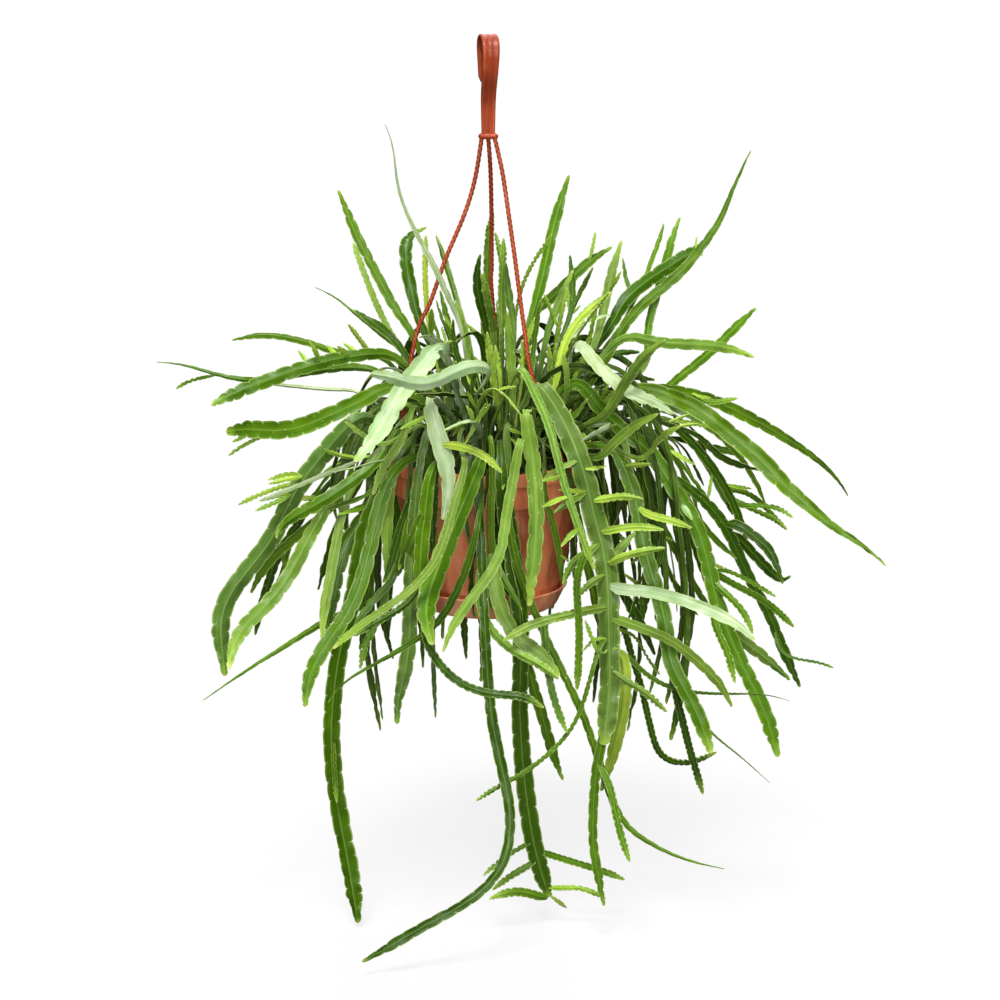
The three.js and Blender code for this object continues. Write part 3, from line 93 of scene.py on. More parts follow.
# %% The camera
VIEW_DISTANCE = 2600
VIEW_ELEVATION = 13.5 * DEG
VIEW_FOCAL = 3421
VIEW_CENTRE = 500
VIEW_SIZE = 1000
VIEW_TARGET = np.array([8.7, 0, -350])
VIEW_FORWARD = np.array([0, math.cos(VIEW_ELEVATION), -math.sin(VIEW_ELEVATION)])
VIEW_UP = np.array([0, math.sin(VIEW_ELEVATION), math.cos(VIEW_ELEVATION)])
VIEW_EYE = VIEW_TARGET - VIEW_FORWARD * VIEW_DISTANCE
SENSOR_WIDTH = 36

camera_data = bpy.data.cameras.new("camera")
camera_data.sensor_width = SENSOR_WIDTH
camera_data.lens = SENSOR_WIDTH * VIEW_FOCAL / VIEW_SIZE
camera_data.clip_end = 100
camera = bpy.data.objects.new("camera", camera_data)
camera.location = VIEW_EYE * MM
camera.rotation_euler = (math.pi / 2 - VIEW_ELEVATION, 0, 0)
bpy.context.collection.objects.link(camera)
bpy.context.scene.camera = camera
print("camera at", np.round(VIEW_EYE), "mm with a lens of", round(camera_data.lens), "mm")

# %% Between the picture and the plant


def front_view(x, y, depth):
    """The point at the given depth, its Y, that the front view shows at pixel x, y."""
    ray = VIEW_FORWARD.copy()
    ray[0] += (x - VIEW_CENTRE) / VIEW_FOCAL
    ray -= VIEW_UP * (y - VIEW_CENTRE) / VIEW_FOCAL
    return VIEW_EYE + ray * (depth - VIEW_EYE[1]) / ray[1]


def seen_at(points):
    """Where points are seen from the front, as millimetres in the plane of the pot's axis."""
    scale = -VIEW_EYE[1] / (points[..., 1] - VIEW_EYE[1])
    x = VIEW_EYE[0] + (points[..., 0] - VIEW_EYE[0]) * scale
    z = VIEW_EYE[2] + (points[..., 2] - VIEW_EYE[2]) * scale
    return np.stack([x, z], axis=-1)


print("the middle of the picture is at", np.round(front_view(VIEW_CENTRE, VIEW_CENTRE, 0)), "mm")

# %% [markdown]
# ## Sizes that the stems must know
# The stems lie on the pot's rim and hang past its saucer, so its sizes come before them. They could be
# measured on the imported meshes. A short list of named sizes is easier to read, and as it repeats the
# frame's own sizes, the finer pieces land where the plain ones were.

# %% Sizes of the pot, the soil and the strands
GAP = 0.3
RIM_Z = -314
RIM_RADIUS = 75
LIP_WALL = 3.4
BAND_FOOT_Z = RIM_Z - 28
BODY_TOP_RADIUS = 70.5
BODY_FOOT_RADIUS = 54
BODY_FOOT_Z = -418
SAUCER_FOOT_Z = -430.5
SAUCER_TOP_Z = -413
SAUCER_TOP_RADIUS = 60
SOIL_Z = RIM_Z - 8
SOIL_CROWN = 2.5
BASE_RADIUS = 4.4
BASE_RISE = 4
COLLAR_HEIGHT = 5
KNUCKLE_SPACING = 4.8
STRAND_RADIUS = 1.9
COLLAR_PIXEL = (488.5, 136.3)
COLLAR_Z = front_view(*COLLAR_PIXEL, 0)[2]
print("rim at", RIM_Z, "mm, collar at", round(COLLAR_Z, 1), "mm")

# %% [markdown]
# ## The stems that the front shows
# Each clump is one node of the frame: stems that share a base in the soil, with their side shoots.
# Stems could be scattered by a rule or drawn as curves by hand. Here the front shows each one so
# clearly that a list of routes in the pixels of the view is the surest way to get the same plant.
# In the list, a line with only a name starts a clump, and each line after it is a stem: its tone, its
# seen width in mm, its depth where it shows first and its depth at its tip, then its route. A line that
# starts with + is a side shoot of the stem above: tone, width, how far it comes forward (-) or goes back
# (+), and route. A backslash joins a line to the next one.

# %% Reading a list of stems


def read_row(line):
    """One stem of a list: its tone, its numbers, and its route in pixels."""
    head, route = line.removeprefix("+ ").split(":")
    tone, *numbers = head.split()
    return [tone, *map(float, numbers), [float(value) for value in route.replace(",", " ").split()]]


def read_clumps(text):
    """The stems of each clump, each with its side shoots last."""
    clumps = {}
    for line in text.strip().split("\n"):
        if ":" not in line:
            clumps[line] = []
            rows = clumps[line]
        elif line.startswith("+"):
            rows[-1][-1].append(read_row(line))
        else:
            rows.append([*read_row(line), []])
    return clumps


# %% The stems that the front shows
SEEN_CLUMPS = read_clumps(
    """
stems_left_1
M 6 5 30: 385,372 300,373 265,381 240,379.5 213,374 184,364 156,362
+ M 3 12: 213,375 188,381 176,389
P 3 25 50: 360,391 345,391 320,389 269,384
stems_left_2
M 10.5 -10 -60: 399,358 380,354 349,356 322,362 295,370 272,379 249,387 230,395 211,405
+ L 4 8: 309,366 309,361 298,350
+ L 4 -8: 320,363 320,357 309,341
+ Y 4 10: 335,359 335,355 327,345
+ Y 4 -6: 345,357 345,352 337,346
+ Y 4 6: 355,356 354,350 343,343
stems_left_3
M 5 40 120: 390,360 341,354 322,347 303,341 280,336 257,334.5 232,340
+ Y 4 -12: 366,356 366,349 357,335 348,324
M 4.5 60 115: 410,360 395,345 370,326 351,310 332,294 314,287
D 7.5 30 60: 404,351 385,332 370,320 353,310
stems_left_4
M 13 -25 -110: 398,385 370,397 341,410 314,422 292,430 269,431 242,428 226,432
+ L 3 -10: 268,431 257,439 240,446 228,456
+ L 3 10: 248,429 245,437 232,442
stems_left_5
B 14.5 -35 -60: 366,412 351,423 332,443 313,467 295,490 284,515 269,544 254,562 239,581 226,599 220,616 \
220,634 223,653 225,676
+ Y 4 8: 305,476 299,471 268,480
+ Y 4 -6: 303,480 296,477 268,484
+ Y 4 12: 300,484 295,482 256,496 238,505
+ L 4 -12: 294,492 286,493 259,501
+ L 4 0: 292,497 284,499 255,511
stems_left_6
M 10 -50 -110: 378,464 354,479 336,494 315,505 299,514 284,521 276,531 276.5,538
P 3.5 -30 -60: 370,455 354,464 337,468 310,481 287,490 260,501
Y 4 -45 -60: 366,458 352,458.5 336,456 323,449
L 5 -75 -100: 384,450 374,443 358,432 345,422
stems_left_7
M 7 10 50: 343,495 328,510 315,521 299,534 284,547 269,560 258,577 251,593
L 11.5 -30 -130: 324,514 313,529 304,547 295,566 284,584 269,603 254,617 239,632 232,647 229,669
D 7.5 40 110: 310,505 299,523 278,555 269,581 263,601 255,635
M 5 60 30: 392,575 369,603 345,612 321,623 287,645 250,668 202,701
stems_left_8
P 15 -50 -140: 446,344 430,357 418,370 399,395 385,422 372,443 355,462
+ Y 2.5 6: 444,347 447,343 453,341
P 10.5 -82 -130: 494,372 482,367 467,364 450,375 436,383 417,386 400,380 390,375 371,374
stems_low_left_1
D 13.5 -60 -70: 372,505 362,545 355,590 348,620 339,653 333,700 331,735 334,780 340,820 347,855 353,890 \
358,923
+ M 4.5 -12: 332,745 333,754 335,780 337,803
D 12 -20 -40: 372,499 361,518 348,540 339,560 334,584 330,606 327,634
stems_low_left_2
M 11.5 -85 -125: 398,464 387,486 378,507 374,532 367,560 361,584 352,606 339,627 324,647 313,666 306,686 \
305,707
L 7 -55 -95: 350,492 341,518 336,544 332,566 328,588 324,606 322,625 322,641
stems_low_left_3
L 8.5 -45 -60: 392,480 390,500 386,540 391,575 385,600
+ M 6 -14: 388,590 387,597 380,616 369,636 363,653 360,669
+ Y 3 -8: 389,512 391,507 387,500
D 6 -78 -80: 420,473 413,496 403,521 395,546 390,571 383,583
stems_upper_left_1
M 7.5 10 20: 414,334 402,321 391,302 379,279 366,254 354,231 345,206 338,190
L 4.5 35 75: 396,342 387,327 377,307 368,284 360,262 353,242
stems_upper_left_2
P 4 -10 -40: 462,330 454,311 446,292 435,267 421,242 410,221 402,202 396,181 395,158 392,137 385,124
D 3 25 40: 448,335 442,323 436,300
M 3.5 10 20: 440,340 436,330 431,311
stems_upper_left_3
D 10.5 20 50: 418,321 413,298 408,273 404,252 403,243 410,234 418,229
+ Y 3 -6: 410,234 418,229 427,227
Y 4 0 -10: 429,330 427,307 425,283 425,258 426,235
stems_upper_left_4
M 4.5 45 95: 471,350 465,328 458,306 452,284 444,258 436,235
D 7.5 -15 -20: 454,345 452,334 453,319
+ Y 3 -5: 453,330 449,323 444,315
P 8.5 -30 -60: 452,366 442,353 433,334 426,333 419,337
D 6 -20 -50: 484,350 479,332 467,331 456,342
stems_crown_1
L 6 62 45: 492,330 488,290 487,262 489,232 493,211
D 7 0 -25: 488,334 484,320 480,301 476,284 477,265 480.5,254
stems_crown_2
L 6 18 4: 494,334 490,315 485,290 482,273
L 4 30 46: 504,310 502.5,271 500,252 495,232
L 5.5 10 20: 502,334 501,315 502,280 503.5,257 503.5,238
stems_crown_3
B 6 -15 -20: 515,330 511,311 507,286 506,263
L 7.5 -50 -60: 513,400 511,363 509,334 507,312
Y 5.5 -70 -80: 498,410 494,382 490,353 487,332
Y 4.5 -60 -62: 502,391 498,368 495,345
stems_crown_4
M 8.5 30 60: 530,326 534,311 540,288 546,263 551,236 557,213 564,190 569,175
L 3 0 -10: 515,320 523,284 528,269 540,252 552,234
L 4.5 -30 -35: 550,400 550,372 549,345
stems_crown_5
M 8.5 50 110: 528,322 542,307 559,292 576,273 595,257 612,247
L 7 5 15: 547,332 555,315 563,294 573,270
L 4.5 -45 -50: 565,401 567,372 563,353
stems_crown_6
D 5.5 60 80: 570,319 573,296 572,273 570,255
M 4.5 80 100: 576,301 584,286 593,267
Y 6 -20 0: 551,397 557,382 561,353 568,334 582,315 599,301 612,292
P 3 20 30: 562,350 570,338 582,322 593,315 611,315
D 6 -60 -65: 566,428 576,414 588,399
stems_upper_right_1
D 12 40 90: 612,325 618,308 634,290 653,277 673,264 690,254 704,245
+ Y 2.5 5: 700,247 705,245 710,243
+ Y 2.5 -5: 697,250 700,252 703,256
+ Y 2.5 0: 694,250 695,243 697,236
L 7.5 30 50: 592,351 597,336 603,314 607,293 612,271 618,251 622,240
+ L 3 -8: 608,292 614,286 621,271
D 4.5 70 110: 632,310 628,290 625,273 623,258
stems_upper_right_2
M 8.5 5 20: 600,370 618,334 636,310 653,295 673,280 688,266 704,243 716,230 725,210 733,188 742,169 \
751,150
M 3.5 60 80: 638,295 645,275 653,256 661,238 664,223
stems_upper_right_3
M 6 60 110: 640,375 645,336 651,314 656,298 666,262 673,234 680,217
M 7 50 130: 655,396 664,390 677,379 694,366 712,351 729,334 744,319 756,308
stems_right_1
L 8.5 -5 -60: 616,340 647,342 679,344 712,345 733,349 754,357
P 10 -40 -130: 573,343 588,355 603,371 618,385 636,396 655,401 673,414
stems_right_2
L 7 -75 -125: 601,422 612,406 624,384 634,368 648,351 666,340
L 7 -90 -140: 595,461 610,447 625,434 642,421 658,414
P 5.5 -60 -70: 618,423 603,428 588,437 576,444
L 5.5 -80 -115: 640,462 650,451 658,441 668,432 681,426
stems_right_3
M 13 -10 -40: 632,388 658,392 679,399 701,410 722,427 744,446 755,452 772,472 790,491 809,506 831,526 \
853,539 870,550 886,566
stems_right_4
M 10 30 90: 645,389 673,392 701,396 724,405 744,415 766,426 790,441 816,458 833,474 844,487 848,496
+ L 4.5 -12: 700,397 707,405 722,401 738,398
+ Y 3 -8: 690,394 694,400 711,398
stems_right_5
M 12 -60 -110: 610,443 623,465 632,487 638,508 642,541 649,565 658,595 666,621 668,656 677,677 690,697 \
701,722 709,743 711,753
+ D 6 25: 665,628 664,641 672,667 676,696 683,722 689,747 697,773 703,794
+ M 3.5 -10: 703,727 709,731 723,743 740,756 770,783
+ Y 6 -14: 640,512 645,515 668,519 692,528
+ Y 4.5 -12: 622,464 630,465 651,464
stems_right_6
M 12 -45 -60: 573,379 588,392 603,412 625,432 651,450 662,469 675,491 686,506 699,530 705,552 712,580 \
716,602 725,623 733,645 744,669 755,691 766,714 778,757
+ M 3.5 12: 709,568 718,567 740,576 755,584 776,597
+ M 5.5 25: 711,576 714,573 733,584 755,595 772,606 794,627
+ M 5.5 -16: 713,586 718,586 731,599 744,610 753,634
+ B 9 20: 730,637 733,634 751,647 768,660 790,680
+ M 6 -25: 716,604 712,615 716,630 725,645 731,664 735,683
+ P 6 -12: 682,501 688,512 692,520
stems_right_7
D 9 30 80: 681,482 701,498 720,517 733,541 744,567 755,589 766,606 775,628 785,654 794,673 800,687
+ D 8.5 -25: 725,524 733,521 751,534 768,547 777,565 783,584
+ D 8.5 25: 731,535 740,539 755,556 770,571 783,584 791,576
+ M 2.5 -20: 776,631 778,650 794,659 820,662 834,668
B 5 60 80: 665,415 677,428 694,443 707,463 716,480 725,498 733,515
+ M 4.5 20: 719,487 725,489 744,491 759,500 772,515 787,530
+ M 4.5 -20: 727,501 731,506 751,505 768,506 781,508 793,518
+ M 4.5 0: 725,496 733,498 755,511 777,519 785,528
D 6 90 140: 683,440 699,445 716,449 733,452 746,456
stems_front_1
B 16.5 -65 -105: 532,382 542,388 561,416 574,445 585,475 593,512 599,533 605,555 608,586 609,632 610,682 \
607,722 603,745
+ M 7.5 5: 606,730 603,745 597,763 595,784 593,814 593,845 597,867 600,886 604,906
+ M 6 -14: 597,763 605,775 611,788 613,800 617,820 621,835 625,849 630,862
+ Y 10 22: 614,645 623,653 625,678 625,702 621,722 615,747 609,769 601,791
+ L 7 -28: 609,606 600,608 583,611 564,616 542,621 520,630 503,641
+ P 9 -45: 609,590 616,589 647,591 673,597 699,606 725,617 742,628 755,640
+ L 7.5 10: 609,618 620,620 647,630 673,641 694,658 712,675 723,688 732,707
+ L 6 -12: 610,676 620,679 636,686 651,697 667,712
+ M 4 35: 610,645 623,651 638,667 658,682 679,690 701,693 733,694 764,694 790,701
+ D 5.5 50: 610,620 623,624 630,651 640,682 646,708 652,733 658,753 670,762 685,764 699,761 717,752
+ M 2.5 18: 611,625 634,633 644,653 660,675
+ M 4 -25: 608,634 600,640 597,655 589,682 581,710 570,731 556,747 538,763 515,778 495,788 476,801
+ L 3.5 -10: 609,650 601,659 593,641 585,620
+ L 3 -6: 608,640 601,634 591,639 583,651
+ Y 6 -12: 592,503 600,500 623,495 643,499
+ Y 6 -14: 599,536 605,531 636,526 664,530
+ Y 6 -10: 606,564 613,560 638,552 665,548
+ L 6.5 10: 604,560 613,556 624,544 636,532
+ Y 3.5 -8: 582,470 587,470 607,466
+ L 6.5 -16: 598,548 587,552 574,560 566,574 563,585
+ L 5.5 -12: 605,572 598,578 582,589 575,600
+ L 4.5 -8: 580,462 567,466 558,468 549,473 543,479
+ Y 3.5 -10: 586,489 576,491 558,490
+ L 5.5 -12: 589,494 580,496 568,502 554,513
stems_front_2
L 5.5 -100 -140: 519,366 527,380 536,395 544,410 551,431 557,454 563,480 572,506 579,527 586,546 595,570
+ M 6 20: 586,547 577,575 577,596 579,620 579,650 577,690
+ L 4 -8: 562,477 560,478 542,481
+ Y 4 -10: 566,494 554,497 549,509 542,507
+ L 4.5 -8: 579,526 577,527 569,536 561,547
stems_front_3
D 13.5 -90 -62: 500,470 508,520 515,570 521,620 521,660 519.5,700 521,740 525,785 531,830 538,862 549,897
+ M 4 -14: 529,840 525,845 511,853 497,863 483,876
+ M 5.5 -8: 534,862 529,867 513,873 503,882 492,890
+ M 7 -14: 546,893 540,898 523,890 511,892 499,894 489,899
+ M 5.5 14: 537,852 545,853 564,859 583,865 603,871 625,880
+ L 4.5 -4: 547,888 555,890 572,886 587,889 606,899
+ Y 3.5 6: 548,895 558,901 567,908
+ M 8.5 16: 521,636 525,659 532,682 538,702 544,722 550,743 556,763 563,780
stems_front_4
D 8 -97 -170: 480,500 482,560 484,600 485,627 488,680 491,714 500,760 508,795 511,820 509,845 502,868 \
487,887 460,907 427,924 395,943 362,962
+ L 7 -20: 482,568 479,604 488,626 504,644 521,656 537,662 559,679
D 5.5 -110 -110: 478,520 468,565 459,585 453,601 443,617 430,631 413,641 396,653 374,664 353,676 334,689 \
328,703
stems_front_5
M 5.5 -92 -100: 505,490 511,538 518,568 530,602 538,620 548,643 560,667 572,692 583,714 593,743 601,767 \
609,790 617,814 630,831 646,841 664,851 685,860 705,865 725,869
+ M 6 -16: 537,614 544,614 545,641 548,671 552,692 558,712 567,733
B 6 -72 -88: 505,420 509,440 508,468 506,490
stems_front_6
L 11.5 -118 -128: 524,407 528,430 533,455 534,480 537,505 536,530 534,554 531,579 529,606
M 4.5 -88 -96: 491,430 493,480 491,513 491,538 494,559 501,576 511,591 522,610
+ L 11.5 -26: 493,552 496,590 506,622 521,641 538,652 551,662 559,676
stems_front_7
L 7.5 -130 -160: 523,436 518,455 513,480 508,505 504,530 503,549 496,566 483,583 471,599 460,614 450,629 \
443,652
stems_front_8
M 15 -108 -150: 485,450 470,488 452,530 438,568 426,600 424,615 433,645
+ D 6.5 -10: 425,600 425,640 437,661 452,678 467,687 490,694 511,695 529,697 544,708
B 6 -80 -100: 486,405 480,418 473,434 465,444
stems_front_9
B 11.5 -82 -100: 416,490 415,520 412,560 410,590 410,620 409,645 406,668 400,690 395.5,708 397,724
M 11.5 -92 -96: 433,463 428,488 425,513 421,546 420,580 420,600
+ D 6 -14: 423,585 405,606 380,620 354,636
+ M 8 14: 424,513 413,538 405,559 397,576
stems_front_10
L 5.5 -122 -150: 469,458 463,475 456,496 451,516 446,536 441,553 430,571 413,589 397,601 361,625 333,649
stems_front_11
P 13.5 -95 -130: 428,395 432,416 438,438 444,456 449,474 449,490 446,505 443,520
+ L 4 -10: 432,418 423,419 408,424 400,429
+ Y 6 -14: 442,448 450,443 463,448 476,450 488,458 496,466 502,473
L 6 -90 -115: 415,402 410,418 407,434 400,444 392,454 383,467 375,483 373,495
stems_front_12
P 8.5 -128 -150: 476,420 464,421 455,423 444,430
Y 4 -85 -110: 488,387 502,391 513,403 523,418
D 5.5 -60 -80: 473,368 482,387 488,407
"""
)
print("clumps that the front shows:", len(SEEN_CLUMPS))

# %% [markdown]
# ## From pixels to routes
# A living stem bends without a kink, so a route is a smooth line through its few points, cut in even
# steps. A Blender curve would do that too, but the next steps have to move every point, and plain
# arrays of points are quicker to push about. The hidden start of each stem runs from a base in the
# soil up and over the rim. The clumps stand on rings of spots: the steeper one rises, the nearer the
# middle it stands.

# %% Settings for the growth
# The points of a route are this far apart, in mm.
ROUTE_STEP = 8
# Stems cross the soil up to this distance from the axis, before they go over the rim.
INSIDE_RIM = 62
# A stem is narrow at its base, by this share of its width, and has its full width this far up.
BASE_SHARE = 0.36
BASE_REACH = 120
# How many clumps stand on each ring of spots in the soil, and its radius.
SPOT_RINGS = [(4, 10), (10, 25), (15, 40.5), (22, 55.5)]
print("clumps that the rings have room for:", sum(count for count, _ in SPOT_RINGS))

# %% Smooth routes


def curve_at(points, places):
    """Points on the smooth curve through points, at places counted in spans."""
    points = np.asarray(points, float)
    last = len(points) - 1
    span = np.clip(np.floor(places).astype(int), 0, last - 1)
    t = (places - span)[:, None]
    a = points[np.maximum(span - 1, 0)]
    b = points[span]
    c = points[span + 1]
    d = points[np.minimum(span + 2, last)]
    # The weights of a cubic curve that passes through each point.
    return (
        a * (-0.5 * t + t**2 - 0.5 * t**3)
        + b * (1 - 2.5 * t**2 + 1.5 * t**3)
        + c * (0.5 * t + 2 * t**2 - 1.5 * t**3)
        + d * (-0.5 * t**2 + 0.5 * t**3)
    )


def smooth_route(points, step):
    """The curve through points, as evenly spaced points about step apart."""
    span_parts = 8
    last = len(points) - 1
    fine = curve_at(points, np.arange(last * span_parts + 1) / span_parts)
    reach = np.concatenate([[0], np.cumsum(np.linalg.norm(np.diff(fine, axis=0), axis=1))])
    count = max(2, math.floor(reach[-1] / step + 0.5))
    want = reach[-1] * np.arange(count + 1) / count
    return np.stack([np.interp(want, reach, fine[:, k]) for k in range(3)], axis=1)


def unit(v):
    """Vectors brought to a length of 1."""
    return v / np.maximum(np.linalg.norm(v, axis=-1, keepdims=True), 1e-12)


def directions(line):
    """The direction of a route at each of its points."""
    return unit(np.concatenate([line[1:], line[-1:]]) - np.concatenate([line[:1], line[:-1]]))


def route_length(points):
    """The length of a route through points."""
    return float(np.linalg.norm(np.diff(np.asarray(points), axis=0), axis=1).sum())


def traced(route, from_depth, to_depth):
    """The points of a route in pixels, with a depth that goes evenly from one value to the other."""
    count = len(route) // 2
    points = []
    for i in range(count):
        depth = from_depth + (to_depth - from_depth) * i / max(count - 1, 1)
        points.append(front_view(route[2 * i], route[2 * i + 1], depth))
    return points


print("a straight test route has", len(smooth_route([[0, 0, 0], [0, 0, 80]], ROUTE_STEP)), "points")

# %% Spots in the soil


def assign_spots(heads):
    """A spot in the soil for each clump: rings by how steeply it rises, places by its turn."""
    names = sorted(heads, key=lambda name: -heads[name]["rise"])
    spots = {}
    begin = 0
    for ring_count, radius in SPOT_RINGS:
        group = sorted(names[begin : begin + ring_count], key=lambda name: heads[name]["turn"])
        begin += ring_count
        count = len(group)
        if not count:
            continue
        offs = [heads[name]["turn"] - 2 * math.pi * i / count for i, name in enumerate(group)]
        start = math.atan2(sum(map(math.sin, offs)), sum(map(math.cos, offs)))
        for i, name in enumerate(group):
            angle = start + 2 * math.pi * i / count
            spots[name] = (radius * math.cos(angle), radius * math.sin(angle))
    return spots


def soil_top_at(radius):
    """The height of the soil's crowned top."""
    return SOIL_Z + SOIL_CROWN * (1 - (radius / 68) ** 2)


print("the soil's middle is at", soil_top_at(0), "mm")

# %% The way out of the soil


def from_base(spot, first, order):
    """The way from a base in the soil to the first point that shows: up, and clear over the rim."""
    z = soil_top_at(math.hypot(*spot)) + BASE_RISE
    points = [np.array([*spot, z - 2]), np.array([*spot, z + 5])]
    reach = math.hypot(first[0], first[1])
    # Stems cross the rim at four heights by turns, so that neighbours lie over each other.
    crossing_z = RIM_Z + 14 + 7 * (order % 4)
    if reach > INSIDE_RIM and first[2] < RIM_Z + 40:
        share = INSIDE_RIM / reach
        inside = [start + (end * share - start) * 0.8 for start, end in zip(spot, first)]
        points.append(np.array([*inside, crossing_z]))
        if reach > 90 and first[2] < RIM_Z:
            out = (83 + 2 * (order % 3)) / reach
            points.append(np.array([first[0] * out, first[1] * out, crossing_z - 4]))
    return points


# %% What makes up a stem


def new_stem(clump, tone, width, face, twist, line, hidden_length=0, parent=None, **more):
    """What a stem or shoot is part of, how it looks, and the even points of its route."""
    look = {"tone": tone, "width": width, "face": face, "twist": twist}
    return {"clump": clump, "line": line, "hidden_length": hidden_length, "parent": parent, **look, **more}


def over_rim(turn, lift, steps):
    """An arc over the rim through steps of (distance from the axis, rise over lift)."""
    out = np.array([math.cos(turn), math.sin(turn), 0])
    return [out * away + np.array([0, 0, RIM_Z + lift + rise]) for away, rise in steps]


def from_soil(spot, shown, order):
    """The line of a stem from its spot through the points that show, and how much of it is hidden."""
    way = from_base(spot, shown[0], order)
    return smooth_route([*way, *shown], ROUTE_STEP), route_length([*way, shown[0]])


def face_and_twist(angle, order):
    """Stems face to both sides by turns, and every third twists the other way."""
    return angle * (1 if order % 2 else -1), (40 if order % 3 == 0 else -30) * DEG


# %% A side shoot


def grow_shoot(stem, family, tone, width, forward, route, order):
    """A shoot starts at the stem or shoot of its clump that passes nearest to its first point."""
    seen_start = seen_at(front_view(route[0], route[1], 0))
    host, host_index, nearest = stem, 0, math.inf
    for other in family:
        away = np.linalg.norm(seen_at(other["line"][2:]) - seen_start, axis=1)
        if len(away) and away.min() < nearest:
            nearest = away.min()
            host, host_index = other, int(away.argmin()) + 2
    depth = host["line"][host_index][1]
    shown = traced(route, depth, depth + forward)
    shown[0] = host["line"][host_index].copy()
    line = smooth_route(shown, ROUTE_STEP)
    twist = (25 if order % 2 else -25) * DEG
    return new_stem(stem["clump"], tone, width, 0, twist, line, parent=host, parent_index=host_index)


# %% Repeatable random numbers
BACK_SEED = 20


def make_random(seed):
    """A repeatable random number between 0 and 1."""
    modulus = 2147483647
    state = [seed]

    def draw():
        state[0] = (state[0] * 16807) % modulus
        return state[0] / modulus

    return draw


print("first draw for the back:", round(make_random(BACK_SEED)(), 4))

# %% Headings of the clumps
BACK_CLUMPS = 7
BACK_STEMS_EACH = 3
BACK_FROM = 48 * DEG
BACK_TO = 132 * DEG


def seen_headings():
    """The turn about the pot, and the rise above the soil, of each clump that the front shows."""
    heads = {}
    for name, rows in SEEN_CLUMPS.items():
        middle = sum(front_view(row[4][0], row[4][1], row[2]) for row in rows) / len(rows)
        heads[name] = {
            "turn": math.atan2(middle[1], middle[0]),
            "rise": math.atan2(middle[2] - SOIL_Z, math.hypot(middle[0], middle[1])),
        }
    return heads


def back_headings(draw):
    """The same for the clumps behind the pot, with the sizes of their stems, by rule."""
    heads, back_rows = {}, {}
    for k in range(BACK_CLUMPS):
        name = "stems_back_" + str(k + 1)
        turn = BACK_FROM + (BACK_TO - BACK_FROM) * (k + 0.5) / BACK_CLUMPS
        back_rows[name] = [
            {
                "turn": turn + (draw() - 0.5) * 14 * DEG,
                "lift": 12 + 26 * j + 12 * draw(),
                "reach": 120 + 50 * draw() + 22 * (j % 2),
                "drop": 60 + 120 * draw() - 45 * j,
                "width": 9 + 4 * draw(),
            }
            for j in range(BACK_STEMS_EACH)
        ]
        heads[name] = {"turn": turn, "rise": (20 + 34 * draw()) * DEG}
    return heads, back_rows


back_heads, BACK_ROWS = back_headings(make_random(BACK_SEED))
spots = assign_spots({**seen_headings(), **back_heads})
print("clumps with a spot in the soil:", len(spots))

# %% A stem with its side shoots
LONG_STEM = 110
# A long stem that shows narrow is turned away: it is wider by this factor, up to this width.
TURNED_FACTOR = 1.7
TURNED_WIDTH = 7.5


def grow_family(name, row, order):
    """A stem that the front shows, and its side shoots."""
    tone, seen, from_depth, to_depth, route, shoots = row
    shown = traced(route, from_depth, to_depth)
    line, hidden = from_soil(spots[name], shown, order)
    is_long = len(line) * ROUTE_STEP > LONG_STEM
    width = max(seen, min(TURNED_WIDTH, seen * TURNED_FACTOR)) if is_long else seen
    face, twist = face_and_twist(math.acos(min(1, seen / width)), order)
    family = [new_stem(name, tone, width, face, twist, line, hidden, seen=seen)]
    for shoot in shoots:
        family.append(grow_shoot(family[0], family, *shoot, order + len(family)))
    return family


# %% A stem behind the pot


def grow_back_stem(name, row, order):
    """An arc over the rim behind the pot."""
    reach, drop = row["reach"], row["drop"]
    steps = [(INSIDE_RIM, 0), (95, 8), (reach * 0.85, -18), (reach, -35 - drop * 0.4)]
    shown = over_rim(row["turn"], row["lift"], [*steps, (reach + 8, -50 - drop)])
    points = [*from_base(spots[name], shown[0], order)[:2], *shown]
    line = smooth_route(points, ROUTE_STEP)
    tone = "M" if order % 3 else "D"
    face = 20 * DEG * (1 if order % 2 else -1)
    return new_stem(name, tone, row["width"], face, 35 * DEG, line, route_length(points))


# %% All stems of the frame's clumps
grown = []
for name, rows in SEEN_CLUMPS.items():
    for row in rows:
        grown.extend(grow_family(name, row, len(grown)))
print("stems and shoots that the front shows:", len(grown))
for name, rows in BACK_ROWS.items():
    for row in rows:
        grown.append(grow_back_stem(name, row, len(grown)))
print("with those behind the pot:", len(grown))

# %% [markdown]
# ## Where the strands of the hanger run
# Three thin strands run from the collar to the rim, and the stems have to pass between them. They
# could be straight lines. The real ones sag outwards a little, so their routes come from the same view
# as the stems, and each ends where its clip grips the rim.

# %% Routes of the strands
# The place of the clip in degrees about the pot, the place on the collar, and the route in pixels.
STRAND_ROUTES = {
    "strand_left": (200, 0, [484, 140, 475, 179, 464.5, 214, 446, 258, 430.8, 301, 414.5, 342]),
    "strand_right": (320, 2, [495, 140, 502.5, 173, 508.6, 214, 515, 259, 523.6, 324, 533, 380]),
    "strand_back": (80, 1, [490, 140, 490.5, 170, 491.5, 214, 491.8, 265, 492, 294]),
}


